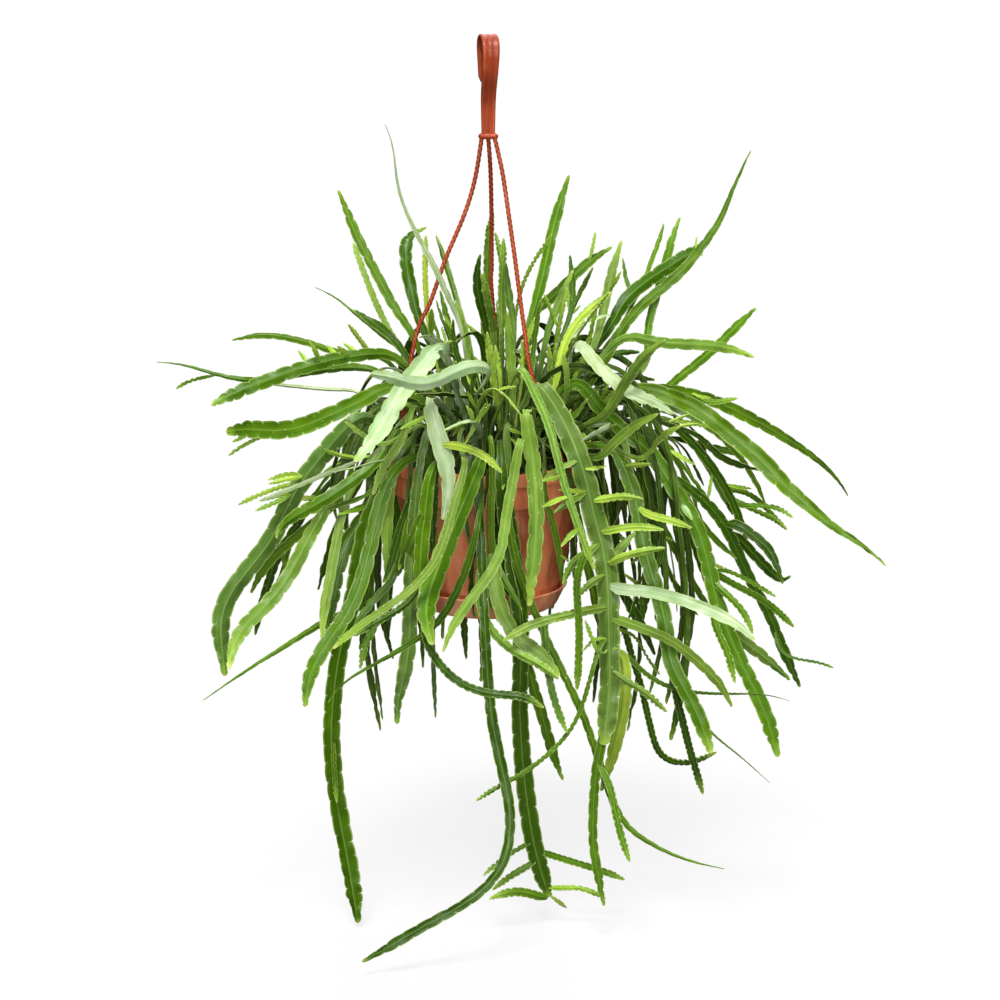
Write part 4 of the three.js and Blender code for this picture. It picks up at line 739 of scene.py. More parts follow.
def strand_line(rim_angle, index, route):
    """The points of a strand from the collar to its place on the rim."""
    grip = RIM_RADIUS - LIP_WALL / 2
    turn = rim_angle * DEG
    end = np.array([grip * math.cos(turn), grip * math.sin(turn), RIM_Z + GAP + 1.3])
    top = np.array([(index - 1) * KNUCKLE_SPACING, 0, COLLAR_Z - COLLAR_HEIGHT / 2 - GAP])
    points = [top]
    for i in range(1, len(route) // 2):
        seen = front_view(route[2 * i], route[2 * i + 1], 0)
        share = (top[2] - seen[2]) / (top[2] - end[2])
        points.append(front_view(route[2 * i], route[2 * i + 1], end[1] * share))
    points.append(end)
    return points


strand_lines = {name: strand_line(*row) for name, row in STRAND_ROUTES.items()}
print("lengths of the strands in mm:", [round(route_length(line)) for line in strand_lines.values()])

# %% [markdown]
# ## Keeping stems apart
# Real stems don't run through each other. A cloth or rigid body simulation could part them, but it
# would move them in the picture too. So the points are pushed apart in small steps by a rule: what the
# front shows stays where it is seen, and moves only along the line of sight. The hidden way out of the
# soil moves freely.

# %% The room that the pot takes
CLEARANCE = 2.6
PASSES = 120
CROWN_REACH = 26


def pot_radius_at(z):
    """How far from the pot's axis a stem stays at each height."""
    share = (BAND_FOOT_Z - z) / (BAND_FOOT_Z - BODY_FOOT_Z)
    body = BODY_TOP_RADIUS + (BODY_FOOT_RADIUS - BODY_TOP_RADIUS) * share + 3.5
    return np.where(
        z > BAND_FOOT_Z - 3,
        RIM_RADIUS + 3,
        np.where(z > SAUCER_TOP_Z + 4, body, SAUCER_TOP_RADIUS + 3),
    )


print("room to keep from the axis at the rim:", float(pot_radius_at(RIM_Z)), "mm")

# %% Values for each point of a route
# From a stem's base, this much never moves, and this much may touch the other stems of its clump.
STILL_LENGTH = 12
ROOTED_LENGTH = 45
NO_HOST = -9


def stem_samples(stem, clump):
    """How free each point of a stem is to move, and how much room it needs."""
    line, is_shoot = stem["line"], bool(stem["parent"])
    i = np.arange(len(line))
    along = directions(line)
    slope = np.abs(along[:, 1])
    across = abs(math.sin(stem["face"])) * np.sqrt(1 - slope**2)
    from_root = np.full(len(line), 100.0) if is_shoot else i * ROUTE_STEP * 1.0
    half = stem["width"] / 2 * np.minimum(1, BASE_SHARE + from_root / BASE_REACH)
    free = np.minimum(1, i / 2) if is_shoot else np.clip((from_root - STILL_LENGTH) / 12, 0, 1)
    return {
        "stem": stem["index"],
        "i": i,
        "along": along,
        "at": line,
        "hidden": (from_root < stem["hidden_length"]) & (not is_shoot),
        "free": free * (0 if stem.get("fixed") else 1),
        "rooted": (from_root < ROOTED_LENGTH) & (not is_shoot),
        "half": half,
        "round": half * 0.9 + 0.7,
        "deep": half * np.maximum(across, slope * 0.5) + 1 + ROUTE_STEP / 2 * slope,
        "clump": clump,
        "host": stem["parent"]["index"] if is_shoot else NO_HOST,
    }


def strand_samples(points):
    """The same values for a strand of the hanger, which never moves."""
    line = smooth_route(points, ROUTE_STEP / 2)
    fixed = {"stem": -1, "hidden": False, "free": 0.0, "rooted": False, "clump": -1, "host": NO_HOST}
    room = {"half": STRAND_RADIUS + 1, "round": STRAND_RADIUS + 2.2, "deep": STRAND_RADIUS + 2.0}
    return {"i": np.arange(len(line)), "along": directions(line), "at": line, **fixed, **room}


def place_samples(grown):
    """The values of all stems and strands in one array for each kind of value."""
    clumps = {name: k for k, name in enumerate(dict.fromkeys(stem["clump"] for stem in grown))}
    rows = []
    begin = 0
    for index, stem in enumerate(grown):
        stem["begin"], stem["index"] = begin, index
        begin += len(stem["line"])
        rows.append(stem_samples(stem, clumps[stem["clump"]]))
    rows += [strand_samples(points) for points in strand_lines.values()]
    samples = {}
    for key in rows[0]:
        filled = [row[key] if np.ndim(row[key]) else np.full(len(row["at"]), row[key]) for row in rows]
        samples[key] = np.concatenate(filled)
    samples["base"] = samples["at"].copy()
    samples["seen"] = seen_at(samples["at"])
    return samples


# %% Pairs of points that may meet
ROWS_AT_ONCE = 400


def find_pairs(samples):
    """Pairs of points that may meet: seen near each other, or near in the crown."""
    stem, i, clump, host = (samples[key] for key in ("stem", "i", "clump", "host"))
    seen, base, half, deep = (samples[key] for key in ("seen", "base", "half", "deep"))
    free, rooted, covered = (samples[key] for key in ("free", "rooted", "hidden"))
    seen_pairs, crown_pairs = [], []
    count = len(stem)
    for begin in range(0, count, ROWS_AT_ONCE):
        rows = np.arange(begin, min(begin + ROWS_AT_ONCE, count))
        away = np.linalg.norm(seen[rows][:, None] - seen[None], axis=2)
        near = (away <= CROWN_REACH) & (np.arange(count)[None] > rows[:, None])
        near &= stem[rows][:, None] != stem[None]
        a, b = np.nonzero(near)
        away = away[a, b]
        a = rows[a]
        stems = (stem[a] >= 0) & (stem[b] >= 0)
        kin = stems & (clump[a] == clump[b]) & (rooted[a] | rooted[b])
        kin |= stems & (host[a] == stem[b]) & (i[a] < 3)
        kin |= stems & (host[b] == stem[a]) & (i[b] < 3)
        kin |= (free[a] == 0) & (free[b] == 0)
        hidden = covered[a] | covered[b]
        crown = ~kin & hidden & (np.linalg.norm(base[a] - base[b], axis=1) <= CROWN_REACH)
        crown_pairs.append(np.stack([a[crown], b[crown]]))
        crown_pairs.append(np.stack([b[crown], a[crown]]))
        span = half[a] + half[b] + CLEARANCE + ROUTE_STEP * 0.3
        shown = ~kin & ~hidden & (away < span)
        need = deep[a] + deep[b] + CLEARANCE
        need = need * np.sqrt(np.maximum(0, 1 - (away / span) ** 2))
        seen_pairs.append(np.stack([a[shown], b[shown], need[shown]]))
    return np.concatenate(seen_pairs, axis=1), np.concatenate(crown_pairs, axis=1)


# %% Clear of the pot and the soil


def slid(points, y):
    """Points moved along the line of sight to another depth."""
    scale = (y - VIEW_EYE[1]) / (points[:, 1] - VIEW_EYE[1])
    return (points - VIEW_EYE) * scale[:, None] + VIEW_EYE


def off_pot(samples, at):
    """Lifts hidden points clear of the soil and rim, and slides seen ones clear of the pot."""
    half, deep, hidden = (samples[key] for key in ("half", "deep", "hidden"))
    radius = np.hypot(at[:, 0], at[:, 1])
    free = (samples["free"] >= 0.3) & (samples["stem"] >= 0)
    over_soil = soil_top_at(np.minimum(radius, 66)) + 3 + half
    floor = np.where(radius < RIM_RADIUS - 6, over_soil, RIM_Z + 4 + 0.6 * half)
    low = free & hidden & (radius < RIM_RADIUS + 4) & (at[:, 2] < floor)
    at[low, 2] = floor[low]
    keep = pot_radius_at(at[:, 2]) + deep * 0.7
    edge = np.sqrt(np.maximum(keep**2 - at[:, 0] ** 2, 0))
    in_way = free & ~hidden & (at[:, 2] <= RIM_Z + 4) & (at[:, 2] >= SAUCER_FOOT_Z - 3)
    in_way &= (np.abs(at[:, 0]) < keep) & (np.abs(at[:, 1]) < edge)
    target = at[:, 1] + 0.8 * (np.where(samples["base"][:, 1] >= 0, edge, -edge) - at[:, 1])
    at[in_way] = slid(at[in_way], target[in_way])


# %% The two kinds of push


def push_seen(push, at, free, one, other, need):
    """Parts stems that the front shows, along the line of sight."""
    both_free = free[one] + free[other]
    apart = at[one, 1] - at[other, 1]
    short = need - np.abs(apart)
    on = (short > 0) & (both_free > 0)
    side = np.where(apart[on] >= 0, 1.0, -1.0) * short[on] / both_free[on]
    np.add.at(push[:, 1], one[on], side * free[one][on])
    np.add.at(push[:, 1], other[on], -side * free[other][on])


def push_crown(push, at, along, free, one, other, need):
    """Parts hidden stems, in any direction across the other stem."""
    both_free = free[one] + free[other]
    away = at[one] - at[other]
    beside = (away * along[other]).sum(axis=1)
    away -= along[other] * beside[:, None]
    distance = np.linalg.norm(away, axis=1)
    short = need - distance
    on = (np.abs(beside) <= ROUTE_STEP * 0.6) & (short > 0) & (both_free > 0)
    distance = np.maximum(distance[on], 0.01)
    step = away[on] * (0.5 * short[on] / distance / both_free[on])[:, None]
    np.add.at(push, one[on], step * free[one][on][:, None])
    np.add.at(push, other[on], -step * free[other][on][:, None])


# %% Points before and after each point


def neighbours(samples):
    """The places in the arrays of the points before and after each point of its stem."""
    count = len(samples["stem"])
    last = np.append(samples["stem"][1:] != samples["stem"][:-1], True)
    last |= np.append(samples["i"][1:] == 0, True)
    index = np.arange(count)
    after = np.where(last, index, np.minimum(index + 1, count - 1))
    return np.maximum(index - 1, 0), after


# %% Moving the stems apart


def keep_apart(grown):
    """Pushes the points of all routes in small steps, and smooths the moves along each stem."""
    samples = place_samples(grown)
    (seen_one, seen_other, need), (crown_one, crown_other) = find_pairs(samples)
    seen_one, seen_other = seen_one.astype(int), seen_other.astype(int)
    at, base, along, free = (samples[key] for key in ("at", "base", "along", "free"))
    before, after = neighbours(samples)
    first = samples["i"] == 0
    moving = samples["stem"] >= 0
    hidden = moving & samples["hidden"]
    shown = moving & ~samples["hidden"]
    shoots = [stem for stem in grown if stem["parent"]]
    shoot_first = np.array([stem["begin"] for stem in shoots])
    shoot_host = np.array([stem["parent"]["begin"] + stem["parent_index"] for stem in shoots])
    crown_need = samples["round"][crown_one] + samples["round"][crown_other] + CLEARANCE
    for _ in range(PASSES):
        push = np.zeros_like(at)
        push_seen(push, at, free, seen_one, seen_other, need)
        push_crown(push, at, along, free, crown_one, crown_other, crown_need)
        length = np.linalg.norm(push, axis=1)
        push *= np.minimum(1, ROUTE_STEP * 0.4 / np.maximum(length, 1e-9))[:, None]
        push[hidden] -= along[hidden] * (push[hidden] * along[hidden]).sum(axis=1)[:, None]
        at[hidden] += push[hidden] * free[hidden][:, None]
        at[shown] = slid(at[shown], at[shown, 1] + push[shown, 1] * free[shown])
        off_pot(samples, at)
        moves = at - base
        smooth = moves * 0.5 + moves[before] * 0.25 + moves[after] * 0.25
        smooth *= np.minimum(1, free * 2)[:, None]
        at[hidden] = base[hidden] + smooth[hidden]
        at[shown] = slid(base[shown], base[shown, 1] + smooth[shown, 1])
        at[first] = base[first]
        at[shoot_first] = slid(at[shoot_first], at[shoot_host, 1])
    for stem in grown:
        if not stem.get("fixed"):
            stem["line"] = at[stem["begin"] : stem["begin"] + len(stem["line"])].copy()
    print("points moved apart:", len(at), "in pairs:", len(seen_one), "seen and", len(crown_one), "hidden")


keep_apart(grown)

# %% [markdown]
# ## Tools for meshes
# Nearly every piece of this object is long or round, so it can be built from rings of corners joined
# by faces. Blender's own curves and modifiers make such shapes too. The arrays are chosen because they
# go into a mesh at once, thousands of corners at a time, and because each corner can carry named values
# that the materials read later.

# %% A mesh from arrays


def make_piece(name, verts, quads, tris=(), values=None, sharp=None, material=None):
    """A mesh object from arrays in millimetres. values holds colours or vectors for the corners."""
    quads = np.asarray(quads, int).reshape(-1, 4)
    tris = np.asarray(tris, int).reshape(-1, 3)
    mesh = bpy.data.meshes.new(name)
    mesh.vertices.add(len(verts))
    mesh.vertices.foreach_set("co", (np.asarray(verts) * MM).astype(np.float32).ravel())
    corners = np.concatenate([quads.ravel(), tris.ravel()])
    sizes = np.concatenate([np.full(len(quads), 4), np.full(len(tris), 3)])
    mesh.loops.add(len(corners))
    mesh.loops.foreach_set("vertex_index", corners)
    mesh.polygons.add(len(sizes))
    mesh.polygons.foreach_set("loop_start", np.concatenate([[0], np.cumsum(sizes)[:-1]]))
    mesh.polygons.foreach_set("use_smooth", np.ones(len(sizes), bool))
    mesh.update(calc_edges=True)
    for key, (kind, table) in (values or {}).items():
        layer = mesh.attributes.new(key, kind, "POINT")
        part = "color" if kind == "FLOAT_COLOR" else "vector"
        layer.data.foreach_set(part, np.asarray(table, np.float32).ravel())
    if sharp is not None:
        edges = np.zeros(len(mesh.edges) * 2, int)
        mesh.edges.foreach_get("vertices", edges)
        edges = edges.reshape(-1, 2)
        layer = mesh.attributes.new("sharp_edge", "BOOLEAN", "EDGE")
        layer.data.foreach_set("value", sharp[edges[:, 0]] & sharp[edges[:, 1]])
    mesh.validate()
    piece = bpy.data.objects.new(name, mesh)
    bpy.context.collection.objects.link(piece)
    if material:
        mesh.materials.append(material)
    return piece


# %% Rings and caps


def ring_faces(begin, rings, sides):
    """Quads that join rings of corners into a tube."""
    here = begin + np.arange(rings - 1)[:, None] * sides
    there = here + sides
    corner = np.arange(sides)[None]
    after = (corner + 1) % sides
    return np.stack([here + corner, here + after, there + after, there + corner], axis=-1).reshape(-1, 4)


def fan_faces(begin, sides, facing_back):
    """Triangles that close a ring of corners."""
    fan = [[begin, begin + j, begin + j + 1] for j in range(1, sides - 1)]
    return [row[::-1] for row in fan] if facing_back else fan


def tube_faces(rings, sides, begin=0):
    """Quads of a tube, and triangles that close its two ends."""
    last = begin + (rings - 1) * sides
    return ring_faces(begin, rings, sides), fan_faces(begin, sides, True) + fan_faces(last, sides, False)


def turns(sides):
    """The angles of a ring's corners."""
    return np.arange(sides) * 2 * math.pi / sides


def ring_at(turn, radius, z):
    """Corners about the axis. The radius and the height are for each corner or for all."""
    return np.stack(np.broadcast_arrays(radius * np.cos(turn), radius * np.sin(turn), z), axis=-1)


print("a tube of 3 rings with 10 corners each has", len(ring_faces(0, 3, 10)), "faces")

# %% A piece in place of the frame's nodes


def dress(piece, slot, *nodes):
    """Puts a piece on the root body, in place of the frame's nodes, and says how fine it is."""
    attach(piece, "root")
    present = [node for node in nodes if node in NODES]
    if present:
        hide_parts(*present)
    print(piece.name, "has", len(piece.data.polygons), "faces")


# %% [markdown]
# ## Frames along a stem
# A strap needs to know at each place which way it lies. A fixed up direction would flip it where it
# turns down. So each frame is carried on from the one before and turns as little as it can. On top of
# that, each stem shows its face to the front by its own angle at its middle, and twists slowly.

# %% The frames of a route


def frame_route(line, face, twist, looks=None):
    """Directions along and across a route. A blade faces the front, or where looks points."""
    last = len(line) - 1
    along = directions(line)
    side = np.zeros_like(line)
    start = np.array([1.0, 0, 0])
    side[0] = unit(start - along[0] * (start @ along[0]))
    for i in range(1, last + 1):
        step = line[i] - line[i - 1]
        mirror = 2 / (step @ step)
        flipped = side[i - 1] - step * (mirror * (step @ side[i - 1]))
        way = along[i - 1] - step * (mirror * (step @ along[i - 1]))
        turn = along[i] - way
        flipped = flipped - turn * (2 / max(turn @ turn, 1e-12) * (turn @ flipped))
        side[i] = unit(flipped - along[i] * (flipped @ along[i]))
    middle = round(last * 0.6)
    toward = unit(line[middle] - VIEW_EYE) if looks is None else looks
    wanted = np.cross(along[middle], toward)
    offset = 0
    if np.linalg.norm(wanted) > 0.05:
        wanted = unit(wanted)
        up = np.cross(along[middle], side[middle])
        offset = math.atan2(wanted @ up, wanted @ side[middle])
    angle = offset + face + twist * (np.arange(last + 1) / last - 0.6)
    up = np.cross(along, side)
    across = side * np.cos(angle)[:, None] + up * np.sin(angle)[:, None]
    return along, across


# %% [markdown]
# ## Blades
# A stem of this cactus is a flat, fleshy strap. A low rib runs along its middle. Its edges are a row of
# long shallow scallops, each ending at a notch where a small woolly areole sits. The notches alternate
# from side to side. New shoots are thicker for their width. The scallops could be a picture with
# transparent edges, but then they would have no thickness. Here rings of ten corners carry the rib and
# the thin edges, and eight rings carry each tooth, or four on young shoots, whose teeth are small. So
# the outline is real, no modifier is needed, and all stems together stay under a million triangles.

# %% The section of a blade
# Where the rings of one tooth lie, as shares of its length.
TOOTH_PLACES = np.array([0, 0.08, 0.24, 0.42, 0.5, 0.58, 0.74, 0.92])
YOUNG_TOOTH_PLACES = np.array([0, 0.3, 0.5, 0.8])
SECTION = [
    # share of the half width, share of the middle's thickness, share of the edge's thickness
    (-1.0, 0.0, 0.5),
    (-0.6, 0.14, 0.4),
    (-0.17, 0.36, 0.1),
    (0.0, 0.72, 0.0),
    (0.17, 0.36, 0.1),
    (0.6, 0.14, 0.4),
    (1.0, 0.0, 0.5),
    (1.0, 0.0, -0.5),
    (0.0, -0.55, 0.0),
    (-1.0, 0.0, -0.5),
]
SECTION_ACROSS, SECTION_MIDDLE, SECTION_EDGE = np.array(SECTION[::-1]).T
EDGE_CORNERS = np.abs(SECTION_ACROSS) == 1
print("corners in a ring of a blade:", len(SECTION))

# %% The tones of the stems
# Mid green, dark, lime, yellow lime, pale with a painted sheen, bluish, painted deep shade, and a broad lime
# stem.
TONES = {
    "M": (0.073, 0.162, 0.004),
    "D": (0.036, 0.094, 0.001),
    "L": (0.205, 0.36, 0.03),
    "Y": (0.33, 0.47, 0.05),
    # P is a pale green that paints the whitish sheen of top light on the waxy skin.
    "P": (0.36, 0.47, 0.28),
    "B": (0.098, 0.18, 0.03),
    # N is nearly black: painted shade for stems deep in the crown and behind others.
    "N": (0.024, 0.062, 0.0015),
    "wide L": (0.143, 0.25, 0.032),
}
WIDE_BLADE = 5
print("tones:", *TONES)

# %% Teeth and notches
rng = np.random.default_rng(7)


def tooth(u):
    """How far an edge stands out along one tooth: a quick rise, a slow fall and a short step back."""
    rise = 0.08 + 0.92 * np.sin(np.minimum(u / 0.5, 1) * math.pi / 2)
    fall = 1 - 0.3 * np.clip((u - 0.58) / 0.34, 0, 1) - 0.62 * np.clip((u - 0.92) / 0.08, 0, 1)
    return np.where(u < 0.5, rise, fall)


def notches(total, pitch, width):
    """Where the notches of one edge lie. The teeth are uneven, and shorter near the tip."""
    at = [0.0]
    while at[-1] < total:
        near_tip = min(1, 0.4 + (total - at[-1]) / (7 * width))
        at.append(at[-1] + pitch * near_tip * (0.8 + 0.4 * rng.random()))
    return np.array(at)


# %% Where a shoot leaves its stem


def nearest_on(line, point):
    """The place of a route, counted in spans, that lies nearest to a point."""
    best, best_index = math.inf, 0
    for i in range(len(line) - 1):
        step = line[i + 1] - line[i]
        t = np.clip((point - line[i]) @ step / (step @ step), 0, 1)
        away = np.linalg.norm(line[i] + step * t - point)
        if away < best:
            best, best_index = away, i + t
    return best_index


def eased(line, passes):
    """The route with its small kinks smoothed, and both ends kept."""
    line = line.copy()
    for _ in range(passes):
        line[1:-1] = line[1:-1] * 0.5 + (line[:-2] + line[2:]) * 0.25
    return line


def blade_route(stem):
    """A stem's route and frames. A shoot's route starts at the edge of what it grows on."""
    line = stem["line"].copy()
    host = stem["parent"]
    if host:
        place = nearest_on(host["route"], line[0])
        at = curve_at(host["route"], np.array([place]))[0]
        across = host["across"][int(round(place))]
        away = line[min(2, len(line) - 1)] - at
        side = 1 if away @ across > 0 else -1
        line[0] = at + across * side * host["width"] * 0.12
    line = eased(line, 2 if host else 4)
    stem["route"] = line
    # A stem that is seen narrow is a narrow one here, and shows its face.
    face = stem["face"] * (0.3 if stem.get("seen", stem["width"]) < stem["width"] else 1)
    stem["along"], stem["across"] = frame_route(line, face, stem["twist"], stem.get("looks"))
    return line


# %% How a tip tapers
BROAD_STEM = 9.5
# The length of the taper in mm, and the share of the width that is left at the end.
WHIP_TAPER = (110, 0.1)
CROWNED_TAPER = (18, 0.4)
# Where the front sees the tips of the stems that end in a long whip, in pixels.
WHIP_TIPS = [(385, 124), (749, 152), (886, 566), (314, 287), (768, 780), (725, 869), (830, 662)]
WHIP_TIPS += [(156, 362), (205, 698), (848, 492), (788, 698), (328, 703)]


def taper_of(stem, width, young):
    """How long a stem's tip tapers, and the share of its width that is left at the end."""
    ends = seen_at(stem["line"][-1])
    whip = [np.linalg.norm(seen_at(front_view(x, y, 0)) - ends) < 5 for x, y in WHIP_TIPS]
    if any(whip):
        return WHIP_TAPER
    if stem.get("crowned"):
        return CROWNED_TAPER
    if young:
        return 1.8 * width, 0.25
    if width >= BROAD_STEM:
        return 16 + 26 * rng.random(), 0.3
    return 3.2 * width, 0.25


# %% Where the rings of a blade lie


def tooth_rings(total, width, young):
    """The places of a blade's rings along it, the teeth before each, and the count of notches."""
    pitch = 3.6 + 0.25 * width if young else 8.5 + 0.35 * width
    steps = notches(total, pitch, width)
    tooth_places = YOUNG_TOOTH_PLACES if young else TOOTH_PLACES
    beats = (np.arange(len(steps) - 1)[:, None] + tooth_places[None]).ravel()
    places = np.interp(beats, np.arange(len(steps)), steps)
    places = places[(places > 0.5) & (places < total - 2.6)]
    places = np.concatenate([[0], places, total - np.array([2.2, 1.3, 0.6, 0.2, 0.0])])
    return places, np.interp(places, steps, np.arange(len(steps))), len(steps)


def frames_at(stem, share):
    """Points of a stem's route at places counted in spans, with the directions there."""
    at = curve_at(stem["route"], share)
    i = np.minimum(share.astype(int), len(stem["route"]) - 2)
    t = (share - i)[:, None]
    along = unit(stem["along"][i] * (1 - t) + stem["along"][i + 1] * t)
    across = stem["across"][i] * (1 - t) + stem["across"][i + 1] * t
    across = unit(across - along * (across * along).sum(axis=1)[:, None])
    return at, along, across


# %% How wide a blade is


def half_widths(stem, places, width, young, at, along):
    """Half the width at each place, the share that the tip leaves, and a draw for the teeth."""
    to_tip = places[-1] - places
    if stem["parent"]:
        base = np.minimum(1, 0.42 + places / 14)
    else:
        # The part that other stems cover is narrower than the part in the light.
        shown = places - stem["hidden_length"]
        base = np.minimum(1, BASE_SHARE + places / BASE_REACH)
        base = base * (0.55 + 0.45 * np.clip((shown + 12) / 44, 0, 1))
    taper, end = taper_of(stem, width, young)
    tip = (end + (1 - end) * np.minimum(1, to_tip / taper)) * np.sqrt(np.minimum(1, to_tip / 2.2 + 0.03))
    half = width / 2 * base * tip
    swell = rng.normal(0, 1, 4)
    half = half * (1 + 0.05 * swell[0] * np.sin(places / 37 + swell[1]) * np.minimum(1, to_tip / 60))
    # Where the route bends sharply, a narrower blade keeps its inner edge from folding over.
    bend = np.linalg.norm(np.diff(along, axis=0, prepend=along[:1]), axis=1)
    bend /= np.maximum(np.linalg.norm(np.diff(at, axis=0, prepend=at[:1]), axis=1), 0.5)
    return np.minimum(half, 0.6 / np.maximum(bend, 1e-6)), tip, swell[3]


def scallops(beat, places, width, young, drift):
    """How far the left and the right edge stand out at each place, as shares of the half width."""
    to_tip = places[-1] - places
    depth = min(max(0.16 * width / 2, 0.65 if young else 0.4), 1.1) / (width / 2)
    depth = depth * np.minimum(1, places / 30 + 0.2) * np.minimum(1, to_tip / 5 + 0.3)
    depth = depth * (1 + 0.45 * np.sin(beat * 1.7 + drift * 3)) * (0.6 + 0.65 * rng.random())
    depth = depth * (1 + np.clip(1 - to_tip / 40, 0, 1))
    return [1 - depth * (1 - tooth((beat + shift) % 1)) for shift in (0, 0.5)]


# %% How thick it is, and how it folds


def thickness(stem, places, width, young, tip):
    """The thickness at the rib and at the edge."""
    middle = (0.34 * width if young else 0.07 * width + 0.8) * (0.4 + 0.6 * tip)
    if not stem["parent"]:
        middle = middle + np.maximum(0, 1.6 - places / 30)
    edge = np.full(len(places), 0.7 if young else 0.55) * (0.5 + 0.5 * tip)
    return np.maximum(middle, edge), edge


def folded(beat, places, width, half, share_across):
    """How far each corner is lifted by the strap's fold along its rib and by its waved edges."""
    to_tip = places[-1] - places
    fold = (0.1 + 0.34 * rng.random()) * (1 if rng.random() < 0.65 else -1)
    wave = 0.07 * width * (0.4 + rng.random())
    drift = rng.random(2) * 2 * math.pi
    wave_left = np.sin(beat * 2.4 + drift[0]) + 0.5 * np.sin(beat * 5.3 + drift[1])
    wave_right = np.sin(beat * 2.1 + drift[1]) + 0.5 * np.sin(beat * 4.7 + drift[0])
    calm = np.minimum(1, places / 40) * np.minimum(1, to_tip / 10) * wave
    waves = np.where(SECTION_ACROSS[None] < 0, wave_left[:, None], wave_right[:, None])
    return (waves * calm[:, None] + fold * half[:, None]) * np.abs(share_across) ** 1.3


# %% What the stems' material reads


def stem_tone(stem, width):
    """The stem's own colour, a little different from its neighbours'."""
    broad_lime = stem["tone"] == "L" and width >= WIDE_BLADE
    tone = np.array(TONES["wide L" if broad_lime else stem["tone"]]) * (0.78 + 0.44 * rng.random())
    tone[0] *= 0.9 + 0.16 * rng.random()
    return tone, broad_lime


def tip_share(stem, places, width, young, broad_lime):
    """How far each place is in the fresh tip, from 0 to 1."""
    length = (4 + 1.1 * width) * (0.4 + rng.random()) + (7 if young else 0)
    if broad_lime:
        length = 0.14 * places[-1]
    if stem["tone"] in "BDNP" and not young:
        length *= 0.5
    return np.clip(1 - (places[-1] - places) / length, 0, 1)


def wood_and_shade_share(stem, places):
    """How dark each place is painted: old wood with painted crown shade near the soil, and painted shade
    where other stems cover it.
    """
    if stem["parent"]:
        return np.zeros(len(places))
    shown = places - stem["hidden_length"]
    # Painted shade where other stems cover this one.
    covered = 0.85 * np.clip((4 - shown) / 36, 0, 1)
    # Near the soil: old wood, together with painted shade inside the crown.
    return np.maximum(np.clip(1.25 - places / 60, 0, 1), covered)


def notch_share(beat, count):
    """Which corners lie in a notch, and how woolly each notch is."""
    to_notch = np.where(SECTION_ACROSS[None] < 0, (beat % 1)[:, None], ((beat + 0.5) % 1)[:, None])
    woolly = rng.random(count)[beat.astype(int)]
    return np.where(to_notch < 0.03, woolly[:, None], 0.0) * (np.abs(SECTION_ACROSS) > 0.9)[None]


# %% One blade
# A shoot or a lime stem that is narrower than this is a thick young one.
YOUNG_WIDTH = 7.5
# A blade may be this much wider than it shows.
WIDER_THAN_SEEN = 1.12


def blade(stem):
    """Corners of one stem or shoot, and the values that its material reads."""
    line = blade_route(stem)
    total = route_length(line)
    width = min(stem["width"], WIDER_THAN_SEEN * stem.get("seen", stem["width"]))
    young = width < YOUNG_WIDTH and (bool(stem["parent"]) or stem["tone"] in "LY")
    places, beat, count = tooth_rings(total, width, young)
    at, along, across = frames_at(stem, places / (total / (len(line) - 1)))
    half, tip, drift = half_widths(stem, places, width, young, at, along)
    left, right = scallops(beat, places, width, young, drift)
    middle, edge = thickness(stem, places, width, young, tip)
    share_across = SECTION_ACROSS[None] * np.where(SECTION_ACROSS < 0, left[:, None], right[:, None])
    aside = share_across * half[:, None]
    lifted = SECTION_MIDDLE[None] * middle[:, None] + SECTION_EDGE[None] * edge[:, None]
    lifted = lifted + folded(beat, places, width, half, share_across)
    out = np.cross(along, across)
    verts = at[:, None] + across[:, None] * aside[..., None] + out[:, None] * lifted[..., None]

    shape = (len(places), len(SECTION))
    tone, broad_lime = stem_tone(stem, width)
    in_tip = tip_share(stem, places, width, young, broad_lime)
    rows = [np.abs(SECTION_ACROSS)[None], in_tip[:, None], notch_share(beat, count)]
    rows.append(wood_and_shade_share(stem, places)[:, None])
    form = np.stack([np.broadcast_to(row, shape) for row in rows], axis=-1)
    tones = np.broadcast_to(np.append(tone, 1.0), (*shape, 4))
    seed = np.full(shape, rng.random() * 50)
    place = np.stack([np.broadcast_to(places[:, None], shape) * MM, aside * MM, seed], axis=-1)
    return verts, tones, form, place


# %% The knob at the foot of a clump
KNOB_SIDES = 14
# The radius and the height over the soil of each ring of the knob.
KNOB = [(BASE_RADIUS * 1.05, -3.0), (BASE_RADIUS, 1.5), (BASE_RADIUS * 0.85, 3.2)]
KNOB += [(BASE_RADIUS * 0.5, BASE_RISE), (0.6, BASE_RISE + 0.3)]


def knob_corners(spot):
    """Rings of a lumpy woody knob that the stems of a clump rise from."""
    turn = turns(KNOB_SIDES)
    top = soil_top_at(math.hypot(*spot))
    lump = 1 + 0.12 * np.sin(turn * 3 + spot[0])
    rings = [ring_at(turn, radius * lump, top + rise) for radius, rise in KNOB]
    return np.stack(rings) + np.array([*spot, 0])


def knob_values(corners):
    """The knob is old wood all over: dark, with no tip and no notch."""
    shape = corners.shape[:2]
    tones = np.broadcast_to([*TONES["D"], 1.0], (*shape, 4))
    form = np.broadcast_to([0.5, 0.0, 0.0, 1.0], (*shape, 4))
    return corners, tones, form, corners * MM


# %% One clump


